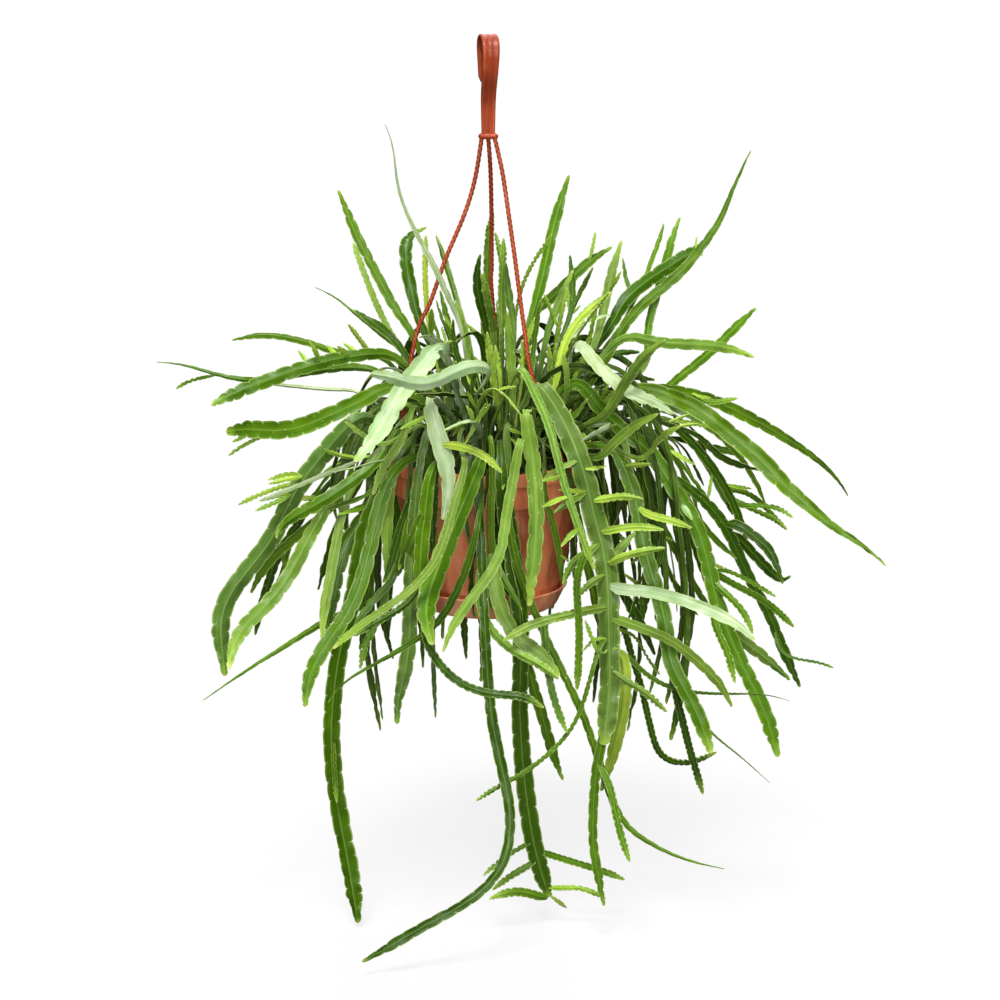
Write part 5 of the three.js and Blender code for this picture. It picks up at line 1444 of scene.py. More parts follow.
def clump_piece(name, stems, material):
    """One node of stems: its blades and the woody knob that they rise from."""
    parts = [blade(stem) for stem in stems]
    parts.append(knob_values(knob_corners(spots[name])))
    quads, tris, sharp = [], [], []
    begin = 0
    for corners, *_ in parts:
        rings, sides = corners.shape[:2]
        tube, caps = tube_faces(rings, sides, begin)
        quads.append(tube)
        tris.extend(caps)
        sharp.append(np.tile(EDGE_CORNERS if sides == len(SECTION) else np.zeros(sides, bool), rings))
        begin += rings * sides
    verts, tones, forms, places = (
        np.concatenate([rows.reshape(-1, rows.shape[-1]) for rows in column]) for column in zip(*parts)
    )
    values = {"tone": ("FLOAT_COLOR", tones), "form": ("FLOAT_COLOR", forms)}
    values["place"] = ("FLOAT_VECTOR", places)
    return make_piece(
        "look_" + name, verts, np.concatenate(quads), tris, values, np.concatenate(sharp), material
    )


# %% [markdown]
# ## More stems in the gaps
# The frame holds every large stem, but its faces are few. Between and behind those stems the real plant
# has many more. A scatter would fill the gaps anyhow; these rows put each stem where the front shows
# one through a gap. They read like the list above, and each rises from the clump that passes nearest.

# %% Stems that show in the gaps
# Rows of tone N are painted nearly black, as shade for stems deep in the crown and behind others.
GAP_STEMS = """
N 7.5 -80 -85: 438,472 433,501 432,527 433,560
N 9 -84 -88: 482,468 478,500 480,540 487,575 492,610
N 9 -84 -86: 512,470 508,520 512,550 520,585 524,625
N 8 -82 -84: 468,468 464,495 466,520 470,545
N 10 -78 -80: 499,470 498,509 501,545 508,583 516,618
N 10 -78 -80: 490,470 484,506 476,545 471,583 475,618
M 5 -82 -80: 541,480 550,513 557,538 561,565 563,586
M 8 -80 -85: 419,490 412,510 405,545 399,570
N 7 -70 -75: 566,480 571,510 575,535 577,555
M 7 -60 -60: 578,520 583,545 590,580 597,612 601,640
N 7.5 -20 0: 598,462 608,496 614,522 620,555 626,590 628,612
M 9 10 20: 640,480 652,508 661,541 669,571 684,594 698,615
D 8 0 10: 612,570 622,590 634,612 646,634 655,655
M 5.5 30 40: 680,485 690,505 703,525 717,541 737,559
D 3 30 40: 660,500 664,520 671,552 675,580 677,612
M 5.5 25 40: 655,510 670,540 683,565 700,594 716,620
D 3 60 80: 668,436 680,456 690,472 705,502
D 3 70 90: 676,440 692,462 704,486
M 3.5 50 60: 670,450 683,465 697,486 706,493 712,510
D 8 20 40: 630,445 648,480 656,515 661,555 668,590
M 9 30 60: 650,430 672,455 688,485 700,520 709,560 712,600
D 7 40 70: 660,420 690,440 715,470 735,505 748,545
M 7 60 90: 640,400 680,410 720,435 750,470 768,510
D 9 10 20: 604,440 612,480 615,530 612,580 606,625
M 8 20 50: 620,430 640,460 648,500 650,545 646,590 640,630
D 6 40 60: 690,430 710,450 730,462 760,470
D 6 60 90: 655,410 690,425 705,450 712,480
D 7 50 80: 640,440 665,480 690,530 705,575 722,610
M 7 60 90: 600,420 628,470 640,530 655,590 660,640
M 5.5 -60 -70: 385,484 373,494 350,504 329,510 311,514
M 5 -60 -65: 380,500 365,508 350,511 337,515
D 6 20 40: 355,475 350,490 346,504 347,536
P 3 -70 -80: 372,462 362,466 345,470 332,472
B 6 -60 -70: 400,570 389,583 371,602 357,620 350,632
D 8 30 60: 385,440 365,470 345,505 330,545 318,590
D 7 50 80: 370,430 340,460 310,500 290,545 275,590
M 8 40 60: 395,460 380,500 372,545 368,600 360,650
D 7 20 50: 405,480 395,530 390,580 388,640
M 6 -30 -40: 570,425 578,412 587,399
L 4.5 -10 -20: 562,412 566,396 569,380
L 5 0 -5: 549,395 552,370 556,343
L 6 0 -10: 555,398 561,375 568,349
M 7 -30 -40: 584,437 595,412 608,385
L 7 -20 -30: 602,424 612,409 623,393
M 6 0 0: 610,400 620,385 630,360
B 10 -20 -50: 572,388 588,397 605,416 622,442 631,468
B 6 -40 -60: 487,400 476,423 462,446
M 7 -40 -70: 478,419 459,425 443,431
N 9 -10 -40: 462,410 441,414 420,406 404,404
B 7.5 -60 -85: 506,418 508,444 505,470 503,490
N 8 -20 -50: 500,395 470,398 440,392 415,394
D 8 10 0: 520,380 490,372 460,368 435,372
D 9 20 20: 540,370 520,352 500,350
M 8 0 10: 480,380 462,362 445,350 430,346
D 8 30 50: 560,380 590,360 615,352 640,352
D 8 30 40: 575,390 600,378 630,375 655,380
M 8 10 20: 560,400 590,392 615,395 640,410
N 7 -30 -40: 455,420 440,436 428,455 420,478
N 7 -50 -60: 520,420 528,440 530,460
M 6 -30 -45: 540,410 552,430 558,455 560,480
L 5 -8 -12: 492,405 490,370 488,335
L 5.5 -15 -20: 508,410 508,370 507,315
M 5 -10 -10: 500,405 500,360 497,300
L 4.5 0 0: 484,350 482,305 477,262
L 5 0 0: 550,398 556,340 567,287
Y 4 -5 -10: 559,375 575,337 609,292
L 6.5 -20 -30: 584,439 614,398 656,345
L 7 -40 -55: 578,445 597,434 617,424
L 6 -30 -50: 598,462 625,434 656,416
M 5 10 10: 530,380 533,340 540,300
L 4.5 5 0: 575,380 590,340 598,300
Y 4 -10 -15: 520,400 524,370 522,340
M 5 20 25: 462,370 450,330 440,290
L 4.5 20 25: 470,370 464,330 455,300
M 5.5 -20 -40: 566,430 575,412 592,395
"""
gap_rows = [read_row(line) for line in GAP_STEMS.strip().split("\n")]
print("stems in the gaps:", len(gap_rows))

# %% The clump that a gap stem belongs to


def nearest_clump(seen, from_front):
    """The clump whose stems are seen nearest to a place, on the same side of the pot."""
    best, best_name = math.inf, None
    for stem in grown:
        if stem["parent"] or stem["clump"].startswith("stems_back") == from_front:
            continue
        away = np.linalg.norm(seen_at(stem["line"]) - seen, axis=1).min()
        if away < best:
            best, best_name = away, stem["clump"]
    return best_name


# %% Growing the gap stems


def grow_gap_stems():
    """A stem for each row, from the base of the clump that passes nearest."""
    found = []
    for order, (tone, width, from_depth, to_depth, route) in enumerate(gap_rows):
        shown = traced(route, from_depth, to_depth)
        name = nearest_clump(seen_at(shown[0]), True)
        line, hidden = from_soil(spots[name], shown, order)
        face, twist = face_and_twist((15 + 25 * (order % 3)) * DEG, order)
        found.append(new_stem(name, tone, width, face, twist, line, hidden))
    return found


# %% [markdown]
# The back and the sides hang as full as the front, but no picture shows them. Copies of the front's
# stems would repeat. So a rule gives a fan of arcs over the rim, each with its own reach and drop.

# %% Stems behind and beside the pot
FAN_COUNT = 42
FAN_FROM = -26
FAN_TO = 172


def grow_fan_stems():
    """Arcs over the rim from the right side round the back to the left."""
    found = []
    for k in range(FAN_COUNT):
        share = ((k + 0.2 + 0.6 * rng.random()) / FAN_COUNT) ** 1.4
        turn = (FAN_FROM + (FAN_TO - FAN_FROM) * share) * DEG
        lift = 8 + 60 * rng.random()
        drawn_in = (0.28 if turn > math.pi / 2 else 0.1) * math.cos(turn) ** 4
        reach = (105 + 62 * rng.random()) * (1 - drawn_in)
        drop = 40 + 190 * rng.random()
        steps = [(INSIDE_RIM, 0), (92, 6), (reach * 0.86, -16), (reach, -34 - drop * 0.35)]
        shown = over_rim(turn, lift, [*steps, (reach + 6, -50 - drop * 0.7), (reach - 6, -60 - drop)])
        name = nearest_clump(seen_at(shown[2]), math.sin(turn) < 0.5)
        points = [*from_base(spots[name], shown[0], k)[:2], *shown]
        width = 6 + 6.5 * rng.random()
        face = (rng.random() - 0.5) * 80 * DEG
        twist = (rng.random() - 0.5) * 90 * DEG
        # Every second one lies flat to the outside, as stems do that bend over a rim.
        looks = np.array([math.cos(turn), math.sin(turn), 0]) if k % 2 else None
        line = smooth_route(points, ROUTE_STEP)
        hidden = route_length(points)
        found.append(new_stem(name, "DMMB"[k % 4], width, face, twist, line, hidden, looks=looks))
    return found


# %% Keeping the new stems clear of the old
for stem in grown:
    stem["fixed"] = True
more = grow_gap_stems() + grow_fan_stems()
all_stems = grown + more
keep_apart(all_stems)
print("stems in the frame's clumps:", len(grown), "and in the gaps:", len(more))

# %% [markdown]
# ## Lime shoots
# New growth springs from the notches: short, keeled, lime shoots that point out and towards the tip.
# The large ones are in the list of routes. The rest are too many to trace one by one, so about one stem
# in six gets up to three, at places drawn by chance in its outer half.

# %% Short shoots along the stems
SHOOT_SHARE = 0.16


def grow_lime_shoots(stems):
    """Short shoots on some of the stems, each on its own side."""
    found = []
    for stem in stems:
        host_line = stem["line"]
        count = len(host_line)
        if stem["parent"] or count < 12 or rng.random() > SHOOT_SHARE:
            continue
        for _ in range(1 + int(rng.random() * 3)):
            index = int(count * (0.45 + 0.45 * rng.random()))
            line_at = host_line[index]
            along = unit(host_line[index + 1] - host_line[index - 1])
            side = unit(np.cross(along, unit(line_at - VIEW_EYE)))
            side = side * (1 if rng.random() < 0.5 else -1)
            toward = rng.normal(0, 0.35) * np.cross(along, side)
            length = 9 + 20 * rng.random()
            outward = side * (0.5 + 0.5 * rng.random())
            way = unit(outward + along * 1.1 + toward + np.array([0, 0, 0.2]))
            curl = np.array([0, 0, 0.12 * (rng.random() - 0.2)])
            reach = np.linspace(0, length, 5)[:, None]
            tone = "Y" if rng.random() < 0.4 else "L"
            width = 2.6 + 2.2 * rng.random()
            line = line_at + way * reach + curl * reach**2 / length
            look = (tone, width, 0, 20 * DEG)
            found.append(new_stem(stem["clump"], *look, line, parent=stem, parent_index=index))
    return found


more_shoots = grow_lime_shoots(all_stems)
all_stems += more_shoots
for stem in all_stems:
    # A stem that carries shoots at its end stays wide there.
    host = stem["parent"]
    if host and len(host["line"]) - stem.get("parent_index", 0) < 5 and host["width"] > 9:
        host["crowned"] = True
print("short lime shoots:", len(more_shoots))

# %% [markdown]
# ## Materials
# Each material is a tree of nodes. It could be wired in the Shader Editor. Written as code, the same
# few kinds of node come back so often that small builders for them keep every tree short to read.

# %% Builders for nodes


class Tree:
    """A short way to add nodes to a material or to a node group."""

    def __init__(self, tree):
        self.tree = tree

    def add(self, kind, inputs=None, **settings):
        """A new node, with its settings and with values or links in its inputs."""
        node = self.tree.nodes.new(kind)
        for key, value in settings.items():
            setattr(node, key, value)
        for key, value in (inputs or {}).items():
            self.put(node.inputs[key], value)
        return node

    def put(self, socket, value):
        """Links a socket or a node to an input, or stores a value there."""
        if isinstance(value, bpy.types.Node):
            value = value.outputs[0]
        if isinstance(value, bpy.types.NodeSocket):
            self.tree.links.new(value, socket)
        else:
            socket.default_value = value

    def fill(self, node, **values):
        """Puts values or links into a node's inputs, whose names are written with _ for a space."""
        for key, value in values.items():
            self.put(node.inputs[key.replace("_", " ")], value)

    def math(self, operation, a, b):
        """The sum or the product of two values."""
        return self.add("ShaderNodeMath", {0: a, 1: b}, operation=operation).outputs[0]

    def noise(self, vector, scale, detail):
        """A noise pattern, with one scale or with a scale for each axis."""
        if isinstance(scale, tuple):
            vector, scale = self.add("ShaderNodeMapping", {"Vector": vector, "Scale": scale}), 1.0
        inputs = {"Vector": vector, "Scale": scale, "Detail": detail, "Roughness": 0.55}
        return self.add("ShaderNodeTexNoise", inputs).outputs["Fac"]

    def span(self, value, low, high, to_low=0.0, to_high=1.0):
        """A smooth step of a value from to_low to to_high."""
        inputs = {"Value": value, "From Min": low, "From Max": high, "To Min": to_low, "To Max": to_high}
        return self.add("ShaderNodeMapRange", inputs, interpolation_type="SMOOTHSTEP").outputs[0]

    def mix(self, share, a, b, blend="MIX"):
        """Colour a with a share of colour b laid over it."""
        node = self.add("ShaderNodeMix", data_type="RGBA", blend_type=blend)
        self.put(node.inputs["Factor"], share)
        for socket, value in ((node.inputs[6], a), (node.inputs[7], b)):
            self.put(socket, (*value, 1.0) if isinstance(value, tuple) and len(value) == 3 else value)
        return node.outputs[2]

    def stored(self, name):
        """The outputs of a named value on the corners."""
        return self.add("ShaderNodeAttribute", attribute_name=name).outputs


# %% Starting a group or a material


def new_group(name, inputs):
    """A node group with named inputs, and with what every surface needs as outputs."""
    group = bpy.data.node_groups.new(name, "ShaderNodeTree")
    outputs = [("Color", "Color"), ("Roughness", "Float"), ("Height", "Float")]
    for side, rows in (("INPUT", inputs), ("OUTPUT", outputs)):
        for key, kind in rows:
            group.interface.new_socket(key, in_out=side, socket_type="NodeSocket" + kind)
    tree = Tree(group)
    return group, tree, tree.add("NodeGroupInput"), tree.add("NodeGroupOutput")


def new_material(name, roughness=0.5, bump=0.3, bump_mm=0.3, **fixed):
    """A material with its shader and bump ready. fixed holds values for the shader's own sockets."""
    material = bpy.data.materials.new(name)
    material.use_nodes = True
    tree = Tree(material.node_tree)
    shader = material.node_tree.nodes["Principled BSDF"]
    bumps = tree.add("ShaderNodeBump")
    tree.fill(bumps, Strength=bump, Distance=bump_mm * MM)
    tree.fill(shader, Normal=bumps, Roughness=roughness, **fixed)
    return material, tree, shader, bumps


def place_group(group, tree, shader, bumps):
    """A node group in a material, with its outputs linked to the shader and the bump."""
    placed = tree.add("ShaderNodeGroup", node_tree=group)
    tree.fill(shader, Base_Color=placed.outputs["Color"], Roughness=placed.outputs["Roughness"])
    tree.fill(bumps, Height=placed.outputs["Height"])
    return placed


# %% [markdown]
# ### The skin of the stems
# The colour runs from the stem's own tone to a yellow-green growing tip. The rib is lighter, a thin
# pale line follows the edges as a painted highlight, and the areoles in the notches are cream. Long
# faint streaks and mottling break up the rest. Old wood near the soil is dark, and painted shade darkens
# the stems inside the crown and where other stems cover them. A material for each stem would be
# hundreds of them. Instead all share one: the tone of each stem, and where a point lies on it, come
# from the named values on the corners.

# %% Patterns on the skin
group, t, given, made = new_group(
    "stem_skin",
    [("Tone", "Color"), ("Form", "Vector"), ("Base", "Float"), ("Place", "Vector")],
)
parts = t.add("ShaderNodeSeparateXYZ", {0: given.outputs["Form"]})
across, tip, notch = parts.outputs[0], parts.outputs[1], parts.outputs[2]
place = given.outputs["Place"]
mottle = t.noise(place, (70, 140, 1), 4)
streak = t.noise(place, (14, 1300, 1), 2)
grain = t.noise(place, (1100, 1100, 1), 2)
fade = t.noise(place, (9, 20, 1), 2)

# %% Colour of the skin
# Clouds and streaks over the stem's own tone.
colour = t.mix(t.span(mottle, 0.3, 0.7), given.outputs["Tone"], (0.72, 0.82, 0.6), "MULTIPLY")
colour = t.mix(t.span(fade, 0.35, 0.7, 0.0, 0.6), colour, (1.4, 1.27, 1.2), "MULTIPLY")
colour = t.mix(t.span(streak, 0.48, 0.7, 0.0, 0.6), colour, (1.5, 1.35, 1.3), "MULTIPLY")
colour = t.mix(t.span(streak, 0.5, 0.3, 0.0, 0.5), colour, (0.62, 0.7, 0.6), "MULTIPLY")
# The rib in the middle, and the thin pale line at the edges, a painted highlight where the edges catch the
# light.
colour = t.mix(t.span(across, 0.0, 0.5, 0.34, 0.0), colour, (1.45, 1.35, 1.4), "MULTIPLY")
colour = t.mix(t.span(across, 0.0, 0.11, 0.28, 0.0), colour, (0.34, 0.5, 0.14))
colour = t.mix(t.span(across, 0.78, 1.0, 0.0, 0.5), colour, (0.4, 0.52, 0.13))
# The tip: fresh green, then yellow, then faintly brown at its end.
colour = t.mix(t.span(tip, 0.0, 0.9, 0.0, 0.7), colour, (0.25, 0.4, 0.04))
colour = t.mix(t.span(tip, 0.8, 1.0, 0.0, 0.8), colour, (0.5, 0.56, 0.14))
colour = t.mix(t.span(tip, 0.94, 1.0, 0.0, 0.6), colour, (0.6, 0.5, 0.2))
# Woolly areoles, pale specks, and dark old wood together with painted shade in the crown and under covering
# stems.
colour = t.mix(t.math("MULTIPLY", notch, 0.75), colour, (0.6, 0.6, 0.34))
speck = t.span(t.noise(place, (420, 420, 1), 1), 0.72, 0.8, 0.0, 0.5)
colour = t.mix(speck, colour, (0.5, 0.55, 0.2))
bark_and_shade = t.math("MULTIPLY", given.outputs["Base"], t.span(mottle, 0.3, 0.7, 0.4, 1.0))
colour = t.mix(bark_and_shade, colour, (0.035, 0.06, 0.012))
t.fill(made, Color=colour)

# %% Gloss and relief of the skin
t.fill(made, Roughness=t.span(mottle, 0.2, 0.8, 0.27, 0.44))
height = t.math("ADD", t.math("MULTIPLY", streak, 0.9), t.math("MULTIPLY", grain, 0.3))
height = t.math("ADD", height, t.math("MULTIPLY", mottle, 1.1))
t.fill(made, Height=height)
stem_skin = group
print("nodes in the group stem_skin:", len(stem_skin.nodes))

# %% The stems' material
stem_material, t, *ends = new_material("stem_skin", bump=0.5, bump_mm=0.45, Specular_IOR_Level=0.2)
skin = place_group(stem_skin, t, *ends)
tone, form, place = t.stored("tone"), t.stored("form"), t.stored("place")
# The alpha of form is the share of old wood and painted shade, which goes to Base.
t.fill(skin, Tone=tone["Color"], Form=form["Color"], Base=form["Alpha"], Place=place["Vector"])
print("material of the stems:", stem_material.name)

# %% [markdown]
# ### Moulded plastic
# The hanger is a red-brown plastic, and the pot and its saucer are a lighter terracotta one, made paler
# still to paint the light that a white floor throws back on them. All share the same marks: cloudy
# colour, dark vertical streaks, pale flow lines that also paint a soft sheen, fine grain, and painted
# shade in the grooves. Three full materials would repeat these nodes. So the marks are one node group
# that is built once, and each material places it with its own colours and gloss.

# %% The group for moulded plastic
group, t, given, made = new_group(
    "moulded_plastic",
    [
        ("Place", "Vector"),
        ("Groove", "Float"),
        ("Colour", "Color"),
        ("Cloud colour", "Color"),
        ("Dust colour", "Color"),
        ("Gloss from", "Float"),
        ("Gloss to", "Float"),
    ],
)
want = given.outputs
cloud = t.noise(want["Place"], 45.0, 4)
fine = t.noise(want["Place"], 1600.0, 2)
flow_and_sheen = t.noise(want["Place"], (260, 260, 7), 3)
dark_streak = t.noise(want["Place"], (42, 42, 6), 2)
colour = t.mix(t.span(cloud, 0.3, 0.7), want["Colour"], want["Cloud colour"])
# Dark vertical streaks.
colour = t.mix(t.span(dark_streak, 0.44, 0.6, 0.0, 0.75), colour, (0.62, 0.45, 0.38), "MULTIPLY")
# Pale flow lines, which also paint a soft sheen, and fine grain.
colour = t.mix(t.span(flow_and_sheen, 0.5, 0.72, 0.0, 0.35), colour, want["Dust colour"])
colour = t.mix(t.span(fine, 0.62, 0.8, 0.0, 0.25), colour, want["Dust colour"])
# Painted shade in the grooves, at the edges and on the back, from the stored value.
colour = t.mix(want["Groove"], colour, (0.3, 0.2, 0.2), "MULTIPLY")
gloss = t.span(t.math("ADD", cloud, flow_and_sheen), 0.7, 1.3, want["Gloss from"], want["Gloss to"])
t.fill(made, Color=colour, Roughness=gloss, Height=t.math("ADD", fine, t.math("MULTIPLY", flow_and_sheen, 2.0)))
moulded_plastic = group
print("nodes in the group moulded_plastic:", len(moulded_plastic.nodes))

# %% The three plastics
# The colour, the colour of the clouds and of the dust, which the flow lines also lay on as a painted sheen,
# and the least and the most roughness.
PLASTICS = {
    # The pot's and the saucer's colours are paler than their plastic to paint the light that a white floor
    # throws back on them. The saucer's is the palest.
    "terracotta_plastic": ((0.86, 0.28, 0.12), (0.78, 0.22, 0.085), (0.9, 0.46, 0.3), 0.24, 0.42),
    "saucer_plastic": ((0.92, 0.38, 0.2), (0.86, 0.32, 0.16), (0.92, 0.55, 0.42), 0.26, 0.44),
    "hanger_plastic": ((0.49, 0.083, 0.02), (0.38, 0.058, 0.014), (0.62, 0.19, 0.09), 0.32, 0.46),
}


def plastic(name, colour, clouds, dust, gloss_from, gloss_to):
    """A material that places the plastic's group with its own colours and gloss."""
    gloss = {"Specular_IOR_Level": 0.32, "Coat_Weight": 0.05, "Coat_Roughness": 0.25}
    material, t, *ends = new_material(name, bump=0.25, bump_mm=0.12, **gloss)
    wear = place_group(moulded_plastic, t, *ends)
    t.fill(wear, Place=t.add("ShaderNodeTexCoord").outputs["Object"], Groove=t.stored("groove")["Fac"])
    t.fill(wear, Colour=(*colour, 1.0), Cloud_colour=(*clouds, 1.0), Dust_colour=(*dust, 1.0))
    t.fill(wear, Gloss_from=gloss_from, Gloss_to=gloss_to)
    return material


pot_plastic, saucer_plastic, hanger_plastic = (plastic(name, *row) for name, row in PLASTICS.items())
print("plastics:", *PLASTICS)

# %% [markdown]
# ### Soil
# Dark moist peat with brown bark and a few pale grains. Most of it is hidden by the stems, so two
# noises, one for the clods and one for the crumbs, do as well as a picture would.

# %% The soil's material
soil_material, t, shader, bumps = new_material("soil", roughness=0.92, bump=0.8, bump_mm=1.2)
place = t.add("ShaderNodeTexCoord").outputs["Object"]
coarse = t.noise(place, 120.0, 5)
crumb = t.noise(place, 520.0, 4)
colour = t.mix(t.span(coarse, 0.35, 0.65), (0.022, 0.013, 0.008), (0.06, 0.033, 0.018))
colour = t.mix(t.span(crumb, 0.55, 0.75, 0.0, 0.6), colour, (0.13, 0.075, 0.04))
t.fill(shader, Base_Color=colour)
t.fill(bumps, Height=t.math("ADD", crumb, t.math("MULTIPLY", coarse, 0.6)))

# %% [markdown]
# ## The stems
# Each clump of stems is one body that grew from one base, so it is one piece and takes the place of
# one node. The stems could be separate objects, but then each would need its own call and name. A clump
# that the frame holds as part of its neighbour rides along as a piece of its own.

# %% A piece for each clump
SLOT_OF = {row["node"]: row["material_slot"] for row in frame["record"]["subparts"]}
for name in spots:
    stems = [stem for stem in all_stems if stem["clump"] == name]
    piece = clump_piece(name, stems, stem_material)
    dress(piece, SLOT_OF.get(name, "stem_green"), name)
print("pieces of stems:", len(spots), "with", len(all_stems), "stems and shoots")

# %% [markdown]
# ## The pot and its saucer
# The pot has a deep lip, a band that steps in below it, and a body that tapers to a narrow foot. The
# saucer clips on under the foot and hides the drain holes, so this finer pot has none. Both are round
# mouldings. A Screw modifier could turn them; here the profile is turned in arrays with the same ring
# tool as the rest, and each corner of the profile gets the small radius that a mould leaves. The body
# is drawn in by a few millimetres behind the saucer's rim, because there the real one leaves a dark gap.

# %% Turning a profile
TURN_SIDES = 144


def turned(name, profile, material):
    """A closed profile of (radius, z) points turned about the pot's axis."""
    inner = [row for row in profile if row[0] > 0]
    radii, levels = np.array(inner, float).T
    verts = ring_at(turns(TURN_SIDES), radii[:, None], levels[:, None]).reshape(-1, 3)
    quads = ring_faces(0, len(inner), TURN_SIDES)[:, ::-1]
    # A point on the axis closes each end.
    first, last = len(verts), len(verts) + 1
    rim = first - TURN_SIDES
    verts = np.concatenate([verts, [[0, 0, profile[0][1]], [0, 0, profile[-1][1]]]])
    pairs = [(k, (k + 1) % TURN_SIDES) for k in range(TURN_SIDES)]
    tris = [(first, a, b) for a, b in pairs] + [(last, rim + b, rim + a) for a, b in pairs]
    piece = make_piece(name, verts, quads, tris, material=material)
    piece.data.set_sharp_from_angle(angle=30 * DEG)
    return piece


# %% Rounding the corners of a profile


def rounded(points, radius, parts=3):
    """A profile with each inner corner cut to an arc of about the given radius."""
    points = [np.array(row, float) for row in points]
    result = [tuple(points[0])]
    for before, here, after in zip(points, points[1:], points[2:]):
        back, on = before - here, after - here
        reach = min(radius, np.linalg.norm(back) * 0.4, np.linalg.norm(on) * 0.4)
        a = here + unit(back) * reach
        b = here + unit(on) * reach
        for k in range(parts + 1):
            share = k / parts
            result.append(tuple(a * (1 - share) ** 2 + here * 2 * share * (1 - share) + b * share**2))
    result.append(tuple(points[-1]))
    return result


print("a square profile gets", len(rounded([(0, 0), (9, 0), (9, 9), (0, 9)], 1)), "points")

# %% The pot
LIP_HEIGHT = 10.5
BAND_RADIUS = 73.4
FOOT_RADIUS = 46.5
POT_WALL = 1.8
POT_CORNER = 0.7
SAUCER_WALL = 1.6
POT_FOOT_Z = SAUCER_FOOT_Z + SAUCER_WALL + GAP
lip_foot = RIM_Z - LIP_HEIGHT
body_slope = (BODY_TOP_RADIUS - BODY_FOOT_RADIUS) / (BAND_FOOT_Z - BODY_FOOT_Z)
floor_z = BODY_FOOT_Z + POT_WALL


def inner_at(z):
    """The radius of the pot's inner face."""
    return BODY_TOP_RADIUS - POT_WALL - body_slope * (BAND_FOOT_Z - z)


POT_PROFILE = [
    (0, floor_z - 3.4),
    (FOOT_RADIUS - POT_WALL, floor_z - 3.4),
    (FOOT_RADIUS - POT_WALL, POT_FOOT_Z),
    (FOOT_RADIUS, POT_FOOT_Z),
    (FOOT_RADIUS, BODY_FOOT_Z),
    (BODY_FOOT_RADIUS - 4, BODY_FOOT_Z),
    (BODY_FOOT_RADIUS - 3.4, SAUCER_TOP_Z - 0.5),
    (BODY_FOOT_RADIUS + 6.5 * body_slope, BODY_FOOT_Z + 6.5),
    (BODY_TOP_RADIUS, BAND_FOOT_Z),
    (BAND_RADIUS, BAND_FOOT_Z + 1),
    (BAND_RADIUS, lip_foot),
    (RIM_RADIUS, lip_foot + 0.4),
    (RIM_RADIUS, RIM_Z - 0.2),
    (RIM_RADIUS - 0.9, RIM_Z),
    (RIM_RADIUS - LIP_WALL, RIM_Z),
    (RIM_RADIUS - LIP_WALL, lip_foot),
    (inner_at(BAND_FOOT_Z), BAND_FOOT_Z),
    (inner_at(floor_z), floor_z),
    (0, floor_z),
]
pot = turned("look_pot", rounded(POT_PROFILE, POT_CORNER), pot_plastic)
dress(pot, "terracotta_plastic", "pot")

# %% The saucer
SAUCER_FOOT_RADIUS = 50
SAUCER_CORNER = 1.0
SAUCER_PROFILE = [
    (0, SAUCER_FOOT_Z + 0.6),
    (SAUCER_FOOT_RADIUS - 8, SAUCER_FOOT_Z + 0.6),
    (SAUCER_FOOT_RADIUS - 7, SAUCER_FOOT_Z),
    (SAUCER_FOOT_RADIUS - 1, SAUCER_FOOT_Z),
    (SAUCER_FOOT_RADIUS + 2.6, SAUCER_FOOT_Z + 2.4),
    (SAUCER_TOP_RADIUS - 1.2, SAUCER_TOP_Z - 2.2),
    (SAUCER_TOP_RADIUS, SAUCER_TOP_Z - 1.6),
    (SAUCER_TOP_RADIUS, SAUCER_TOP_Z),
    (SAUCER_TOP_RADIUS - SAUCER_WALL, SAUCER_TOP_Z),
    (SAUCER_FOOT_RADIUS + 0.4, SAUCER_FOOT_Z + SAUCER_WALL + 0.4),
    (SAUCER_FOOT_RADIUS - 1.5, SAUCER_FOOT_Z + SAUCER_WALL),
    (0, SAUCER_FOOT_Z + SAUCER_WALL),
]
saucer = turned("look_saucer", rounded(SAUCER_PROFILE, SAUCER_CORNER), saucer_plastic)
dress(saucer, "terracotta_plastic", "saucer")

# %% [markdown]
# ## The soil
# The soil fills the pot to just under the rim. Its top is lumpy, with bark crumbs pressed into it.
# Displacing a fine grid would give lumps but no crumbs, and particles are more than so hidden a place
# needs. So rings with a little chance in their height make the lumps, and small bent blocks the crumbs.

# %% One crumb of bark
CRUMB_CORNERS = np.array([(1, 1, 1), (-1, 1, 0.8), (-1, -1, 1), (1, -1, 0.9)])
CRUMB_CORNERS = np.concatenate([CRUMB_CORNERS, [(1, 1, -1), (-1, 1, -1), (-1, -1, -1), (1, -1, -1)]])
CRUMB_FACES = np.array([(0, 1, 2, 3), (7, 6, 5, 4), (0, 4, 5, 1), (1, 5, 6, 2), (2, 6, 7, 3), (3, 7, 4, 0)])
CRUMB_COUNT = 260


def crumb():
    """Corners of one crumb on the soil, each of its own size, place and tilt."""
    radius = 64 * math.sqrt(rng.random())
    angle = rng.random() * 2 * math.pi
    size = np.array([0.8 + 2.2 * rng.random(), 0.7 + 1.3 * rng.random(), 0.4 + 0.7 * rng.random()])
    shape = (CRUMB_CORNERS + rng.normal(0, 0.22, CRUMB_CORNERS.shape)) * size
    spin = rng.random() * math.pi
    tilt = rng.normal(0, 0.35)
    x = shape[:, 0] * math.cos(spin) - shape[:, 1] * math.sin(spin)
    y = shape[:, 0] * math.sin(spin) + shape[:, 1] * math.cos(spin)
    z = shape[:, 2] + x * tilt
    centre = (radius * math.cos(angle), radius * math.sin(angle), soil_top_at(radius) + 0.2)
    return np.stack([x + centre[0], y + centre[1], z + centre[2]], axis=-1)


# %% The soil's body with its crumbs
SOIL_SIDES = 96
SOIL_TOP_RINGS = 26
LUMP_HEIGHT = 0.45


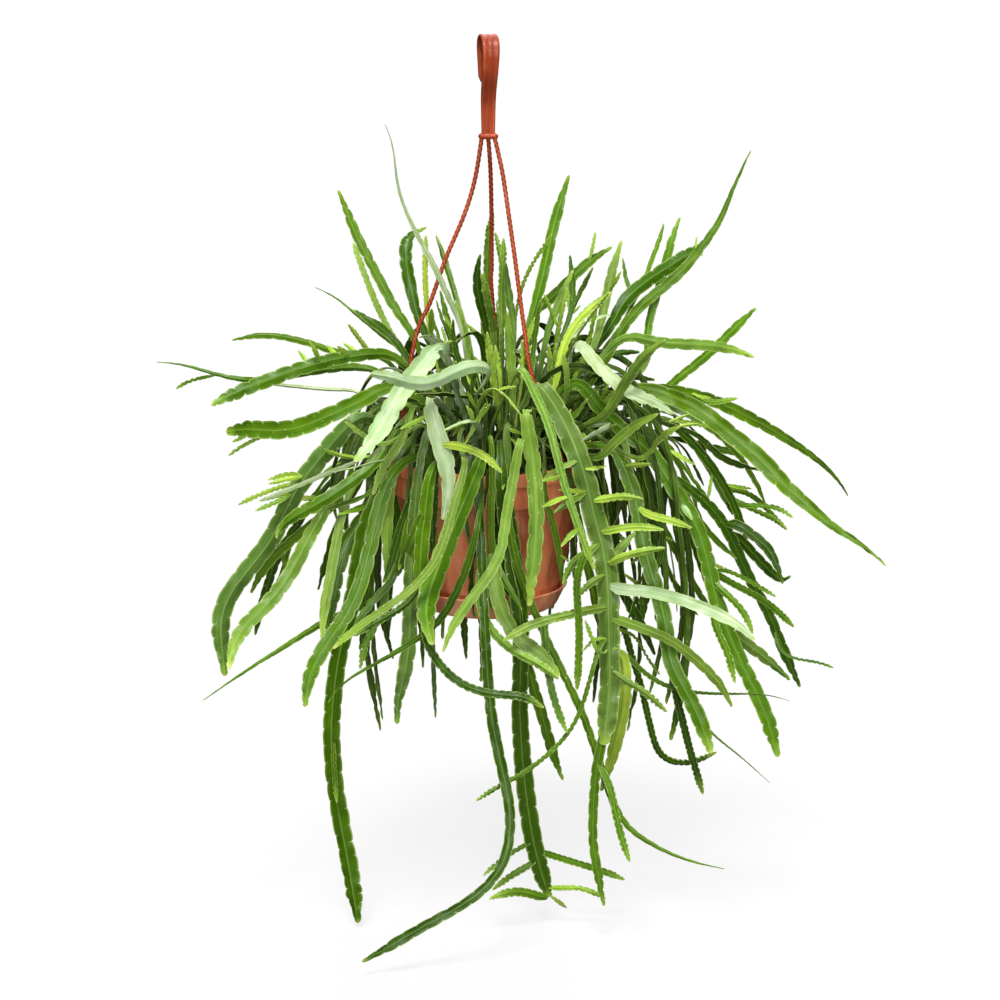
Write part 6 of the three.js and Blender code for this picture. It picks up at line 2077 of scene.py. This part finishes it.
def make_soil():
    """The soil as one closed body, with crumbs on it."""
    turn = turns(SOIL_SIDES)
    foot = floor_z + GAP
    rows = [(1.0, foot), (inner_at(foot) - GAP, foot), (inner_at(BAND_FOOT_Z) - GAP, BAND_FOOT_Z)]
    rows += [(68.0, SOIL_Z - 4)]
    smooth_rows = len(rows)
    rows += [(radius, soil_top_at(radius)) for radius in np.linspace(66.5, 1.0, SOIL_TOP_RINGS)]
    verts = []
    for k, (radius, z) in enumerate(rows):
        lump = np.zeros(SOIL_SIDES)
        if k >= smooth_rows:
            for _ in range(3):
                lump += rng.normal(0, LUMP_HEIGHT, SOIL_SIDES)
        verts.append(ring_at(turn, radius, z + lump))
    tube, tris = tube_faces(len(rows), SOIL_SIDES)
    quads = [tube]
    begin = len(rows) * SOIL_SIDES
    for _ in range(CRUMB_COUNT):
        verts.append(crumb())
        quads.append(CRUMB_FACES + begin)
        begin += len(CRUMB_CORNERS)
    return make_piece(
        "look_soil", np.concatenate(verts), np.concatenate(quads), tris, material=soil_material
    )


dress(make_soil(), "soil", "soil")

# %% [markdown]
# ## The hanger
# The hanger is one moulding. Its crook is a flat strap bent over, with a ridge on each side of a shallow
# groove. It could be a bevelled curve, but a bevel keeps one width, and this strap narrows downwards
# and turns a little. So a section is swept along a route, ring by ring, with its own width at each place.

# %% Sweeping a section


def swept(name, at, across, out, section, material, smooth_angle=40):
    """A section of (across, out) points for each place of a route, as one closed piece."""
    verts = at[:, None] + across[:, None] * section[..., :1] + out[:, None] * section[..., 1:]
    piece = make_piece(name, verts.reshape(-1, 3), *tube_faces(*section.shape[:2]), material=material)
    piece.data.set_sharp_from_angle(angle=smooth_angle * DEG)
    return piece


def darken(piece, shares):
    """Stores how much painted shade each corner gets, which the plastic's material reads."""
    groove = piece.data.attributes.new("groove", "FLOAT", "POINT")
    groove.data.foreach_set("value", np.asarray(shares, np.float32).ravel())


# %% Sizes of the crook
STRAP_THICKNESS = 2.6
STRAP_WIDTH_TOP = 13
STRAP_WIDTH_FOOT = 10
HOOK_INNER_RADIUS = 11
HOOK_TURN = 12 * DEG
HOOK_FREE_LEG = 23
HOOK_FACETS = 7
HOOK_STEP = 1.3
HOOK_ARC_PARTS = 24
print("the crook spans", 2 * (HOOK_INNER_RADIUS + STRAP_THICKNESS), "mm")

# %% The route of the crook


def hook_route():
    """From the free end up over the crook and down to the collar, in the pot's middle plane."""
    middle = HOOK_INNER_RADIUS + STRAP_THICKNESS / 2
    centre_z = STRAP_THICKNESS / 2 - middle * math.cos(math.pi / 2 / HOOK_FACETS)
    path = [(middle, centre_z - HOOK_FREE_LEG)]
    path += [(middle, centre_z - k) for k in (18, 12, 6)]
    for k in range(HOOK_ARC_PARTS + 1):
        angle = math.pi * k / HOOK_ARC_PARTS
        path.append((middle * math.cos(angle), centre_z + middle * math.sin(angle)))
    path += [(-middle, centre_z - 4), (-middle * 0.8, centre_z - 16), (-middle * 0.25, centre_z - 30)]
    path += [(0, centre_z - 42), (0, COLLAR_Z)]
    return smooth_route([(0, y, z) for y, z in path], HOOK_STEP)


# %% The strap of the crook
# Corners of the section as shares of half the width and half the thickness. The groove is on the outer
# face, which looks away from the inside of the crook.
HOOK_FACE = [(-1, 0.4), (-0.93, 0.85), (-0.8, 1), (-0.62, 1), (-0.5, 0.72), (-0.16, 0.72), (0, 0.98)]
HOOK_FACE = HOOK_FACE + [(-x, y) for x, y in HOOK_FACE[-2::-1]]
HOOK_BACK = [(1, -0.6), (0.9, -1), (0.5, -1), (0, -1), (-0.5, -1), (-0.9, -1), (-1, -0.6)]
# Painted shade for each corner of the section: in the grooves, at the edges and on the back.
HOOK_GROOVE_SHADE = [0.35, 0.1, 0, 0, 0.25, 0.25, 0]
HOOK_GROOVE_SHADE = HOOK_GROOVE_SHADE + HOOK_GROOVE_SHADE[-2::-1] + [0.3] * len(HOOK_BACK)


def make_hook():
    """The crook as one strap, with painted shade in its two grooves, at its edges and on its back."""
    line = hook_route()
    down = np.clip(line[:, 2] / COLLAR_Z, 0, 1)
    turn = HOOK_TURN * (1 - down)
    half = (STRAP_WIDTH_TOP + (STRAP_WIDTH_FOOT - STRAP_WIDTH_TOP) * down) / 2
    from_end = np.concatenate([[0], np.cumsum(np.linalg.norm(np.diff(line, axis=0), axis=1))])
    half = half * np.minimum(1, 0.75 + from_end / 16)
    at = np.stack([-line[:, 1] * np.sin(turn), line[:, 1] * np.cos(turn), line[:, 2]], axis=-1)
    along = unit(np.gradient(at, axis=0))
    across = np.stack([np.cos(turn), np.sin(turn), np.zeros(len(line))], axis=-1)
    across = unit(across - along * (across * along).sum(axis=1)[:, None])
    out = np.cross(along, across)
    ring = np.array(HOOK_FACE + HOOK_BACK)[::-1]
    aside = half[:, None] * ring[None, :, 0]
    lifted = np.broadcast_to(ring[None, :, 1] * STRAP_THICKNESS / 2, aside.shape)
    strap = swept("look_hanger_hook", at, across, out, np.stack([aside, lifted], axis=-1), hanger_plastic)
    darken(strap, np.tile(HOOK_GROOVE_SHADE[::-1], len(line)))
    return strap


dress(make_hook(), "hanger_plastic", "hanger_hook")

# %% [markdown]
# ### The collar
# Where the crook ends, a short bar with three knuckles takes the strands. Three spheres and a cylinder
# could be joined for it. One round bar whose radius swells three times has no seams to hide, like the
# moulding itself.

# %% A bar with three knuckles
COLLAR_WIDTH = 15
KNUCKLE_SPREAD = 1.5
COLLAR_RINGS = 49
COLLAR_SIDES = 20


def make_collar():
    """A capsule bar with a bulge where each strand leaves it."""
    x = np.linspace(-1, 1, COLLAR_RINGS) * COLLAR_WIDTH / 2
    past = np.maximum(0, np.abs(x) - (COLLAR_WIDTH - COLLAR_HEIGHT) / 2)
    ends = np.sqrt(np.maximum(0, 1 - past**2 / (COLLAR_HEIGHT / 2) ** 2))
    bulge = sum(np.exp(-(((x - k * KNUCKLE_SPACING) / KNUCKLE_SPREAD) ** 2)) for k in (-1, 0, 1))
    radius = COLLAR_HEIGHT / 2 * (0.84 + 0.16 * bulge) * np.maximum(ends, 0.05)
    # The rings stand about the x axis, so the corners' coordinates change places.
    verts = ring_at(turns(COLLAR_SIDES), radius[:, None], x[:, None])[..., [2, 0, 1]]
    verts = verts.reshape(-1, 3) + np.array([0, 0, COLLAR_Z])
    faces = tube_faces(COLLAR_RINGS, COLLAR_SIDES)
    return make_piece("look_hanger_collar", verts, *faces, material=hanger_plastic)


dress(make_collar(), "hanger_plastic")

# %% [markdown]
# ### The strands
# Each strand is moulded like a rope of three lobes, glossy on the lobes, with painted shade between them.
# A twisted array of three tubes would cross itself inside. One section with three lobes that turns as it
# goes gives the same outside with fewer faces.

# %% A twisted strand
ROPE_PITCH = 12.5
ROPE_STEP = 0.75
ROPE_SIDES = 20
ROPE_LOBES = 3
INTO_COLLAR = 1.6


def make_strand(name, points):
    """A strand from inside the collar, which is one moulding with it, to the rim."""
    line = smooth_route([points[0] + np.array([0, 0, INTO_COLLAR]), *points[1:]], ROPE_STEP)
    along, across = frame_route(line, 0, 0)
    reach = np.arange(len(line)) * ROPE_STEP
    turn = turns(ROPE_SIDES)
    twist = turn[None] + reach[:, None] * 2 * math.pi / ROPE_PITCH
    lobe = np.abs(np.cos(ROPE_LOBES / 2 * twist))
    radius = STRAND_RADIUS * (0.58 + 0.34 * lobe**0.7)
    section = np.stack([radius * np.cos(turn)[None], radius * np.sin(turn)[None]], axis=-1)
    strand = swept("look_" + name, line, across, np.cross(along, across), section, hanger_plastic, 70)
    # Painted shade between the lobes.
    darken(strand, np.clip(1 - lobe * 1.5, 0, 1))
    return strand


for name, points in strand_lines.items():
    dress(make_strand(name, points), "hanger_plastic", name)

# %% [markdown]
# ### The clips on the rim
# Each strand ends in a small clip bent over the pot's lip. A bent plate with a bevel would do. As its
# outline is drawn already, with rounded corners, four slices of it side by side are enough, the outer
# two a little smaller so that the clip's sides have a soft edge.

# %% A clip over the rim
RIM_CLIP_WIDTH = 9
CLIP_LEG = 1.5
CLIP_TOP = 2.4
CLIP_DEPTH_INSIDE = 4.5
CLIP_CORNER = 0.6
CLIP_SLICES = [(-1, 0.048), (-0.9, 0.0), (0.9, 0.0), (1, 0.048)]


def clip_outline():
    """The clip seen from its side, as (distance from the axis, height) points."""
    inside = RIM_RADIUS - LIP_WALL - GAP - 0.6
    outside = RIM_RADIUS + GAP + 0.4
    top = RIM_Z + GAP + CLIP_TOP
    foot_inside = RIM_Z - CLIP_DEPTH_INSIDE
    foot_outside = RIM_Z - LIP_HEIGHT - 2
    middle = (inside + outside) / 2
    points = [(middle, top), (inside - CLIP_LEG, top), (inside - CLIP_LEG, foot_inside)]
    points += [(inside, foot_inside), (inside, RIM_Z + GAP), (outside, RIM_Z + GAP)]
    points += [(outside, foot_outside), (outside + CLIP_LEG, foot_outside)]
    points += [(outside + CLIP_LEG, top), (middle + 0.01, top)]
    return np.array(rounded(points, CLIP_CORNER))


# %% Closing the sides of a clip


def close_sides(mesh, count):
    """Fills the first and the last slice of count corners with triangles."""
    build = bmesh.new()
    build.from_mesh(mesh)
    build.verts.ensure_lookup_table()
    build.faces.new([build.verts[k] for k in range(count)])
    build.faces.new([build.verts[-1 - k] for k in range(count)])
    bmesh.ops.recalc_face_normals(build, faces=build.faces)
    bmesh.ops.triangulate(build, faces=[face for face in build.faces if len(face.verts) > 4])
    build.to_mesh(mesh)
    build.free()


# %% The three clips


def make_clip(name, rim_angle):
    """A clip at its angle about the pot."""
    outline = clip_outline()
    count = len(outline)
    slices = []
    for side, inset in CLIP_SLICES:
        ring = outline + (outline.mean(axis=0) - outline) * inset
        slices.append(np.stack([ring[:, 0], np.full(count, side * RIM_CLIP_WIDTH / 2), ring[:, 1]], axis=-1))
    x, y, z = np.concatenate(slices).T
    cos, sin = math.cos(rim_angle * DEG), math.sin(rim_angle * DEG)
    verts = np.stack([x * cos - y * sin, x * sin + y * cos, z], axis=-1)
    faces = ring_faces(0, len(CLIP_SLICES), count)
    clip = make_piece("look_clip_" + name, verts, faces, material=hanger_plastic)
    close_sides(clip.data, count)
    clip.data.set_sharp_from_angle(angle=40 * DEG)
    return clip


for name, (rim_angle, *_) in STRAND_ROUTES.items():
    dress(make_clip(name, rim_angle), "hanger_plastic")

# %% [markdown]
# ## Floor and light
# The plant hangs in front of plain white. A large floor lies just under the longest stem. White paper
# is never quite white in a render, so the floor glows a little as well, and is kept out of bounced
# light, reflections and shadows: it whitens the picture and only takes the plant's faint shade.

# %% The floor
FLOOR_HALF = 40
FLOOR_GAP = 4
FLOOR_GREY = 0.125
FLOOR_GLOW = 0.77
floor_level = cad_box[0].z / MM - FLOOR_GAP
floor_corners = np.array([[-1, -1, 0], [1, -1, 0], [1, 1, 0], [-1, 1, 0]]) * FLOOR_HALF / MM
floor = make_piece("floor", floor_corners + np.array([0, 0, floor_level]), [[0, 1, 2, 3]])
white = (1, 1, 1, 1)
glow = {"Specular_IOR_Level": 0.0, "Emission_Color": white, "Emission_Strength": FLOOR_GLOW}
grey = (FLOOR_GREY, FLOOR_GREY, FLOOR_GREY, 1)
floor_material, *_ = new_material("floor", roughness=0.9, bump=0.0, Base_Color=grey, **glow)
floor.data.materials.append(floor_material)
floor.visible_diffuse = False
floor.visible_glossy = False
floor.visible_shadow = False
print("floor at", round(floor_level, 1), "mm")

# %% [markdown]
# ### Sky and suns
# The photograph's light is soft and comes from high in front, and the gaps between the stems stay deep.
# A bright sky alone would fill those gaps with grey. So the sky is dim and hidden from reflections, and
# five broad suns do the work: a key high in front, a wide one from overhead, a low one that shines in
# from the front, a faint one from below for the light that a white floor sends back, and a rim light
# from behind, which also lights the back.

# %% The dim white sky
SKY_STRENGTH = 0.1
world = bpy.data.worlds.new("world")
bpy.context.scene.world = world
world.use_nodes = True
Tree(world.node_tree).fill(world.node_tree.nodes["Background"], Color=white, Strength=SKY_STRENGTH)
world.cycles_visibility.glossy = False
bpy.context.scene.view_settings.view_transform = "Standard"
print("strength of the sky:", SKY_STRENGTH)

# %% The five suns
# The turn about the plant, the height over the horizon and the spread in degrees, and the strength.
SUNS = {
    "key": (-12, 62, 18, 3.9),
    "sky": (0, 88, 120, 1.2),
    "front": (5, 15, 16, 1.6),
    "bounce": (0, -60, 100, 0.5),
    "rim": (165, 35, 60, 1.9),
}
for name, (turn, lift, spread, strength) in SUNS.items():
    sun = bpy.data.lights.new(name, "SUN")
    sun.energy = strength
    sun.angle = spread * DEG
    lamp = bpy.data.objects.new(name, sun)
    lamp.rotation_euler = ((90 - lift) * DEG, 0, turn * DEG)
    bpy.context.collection.objects.link(lamp)
    print("sun", name, "with strength", strength)
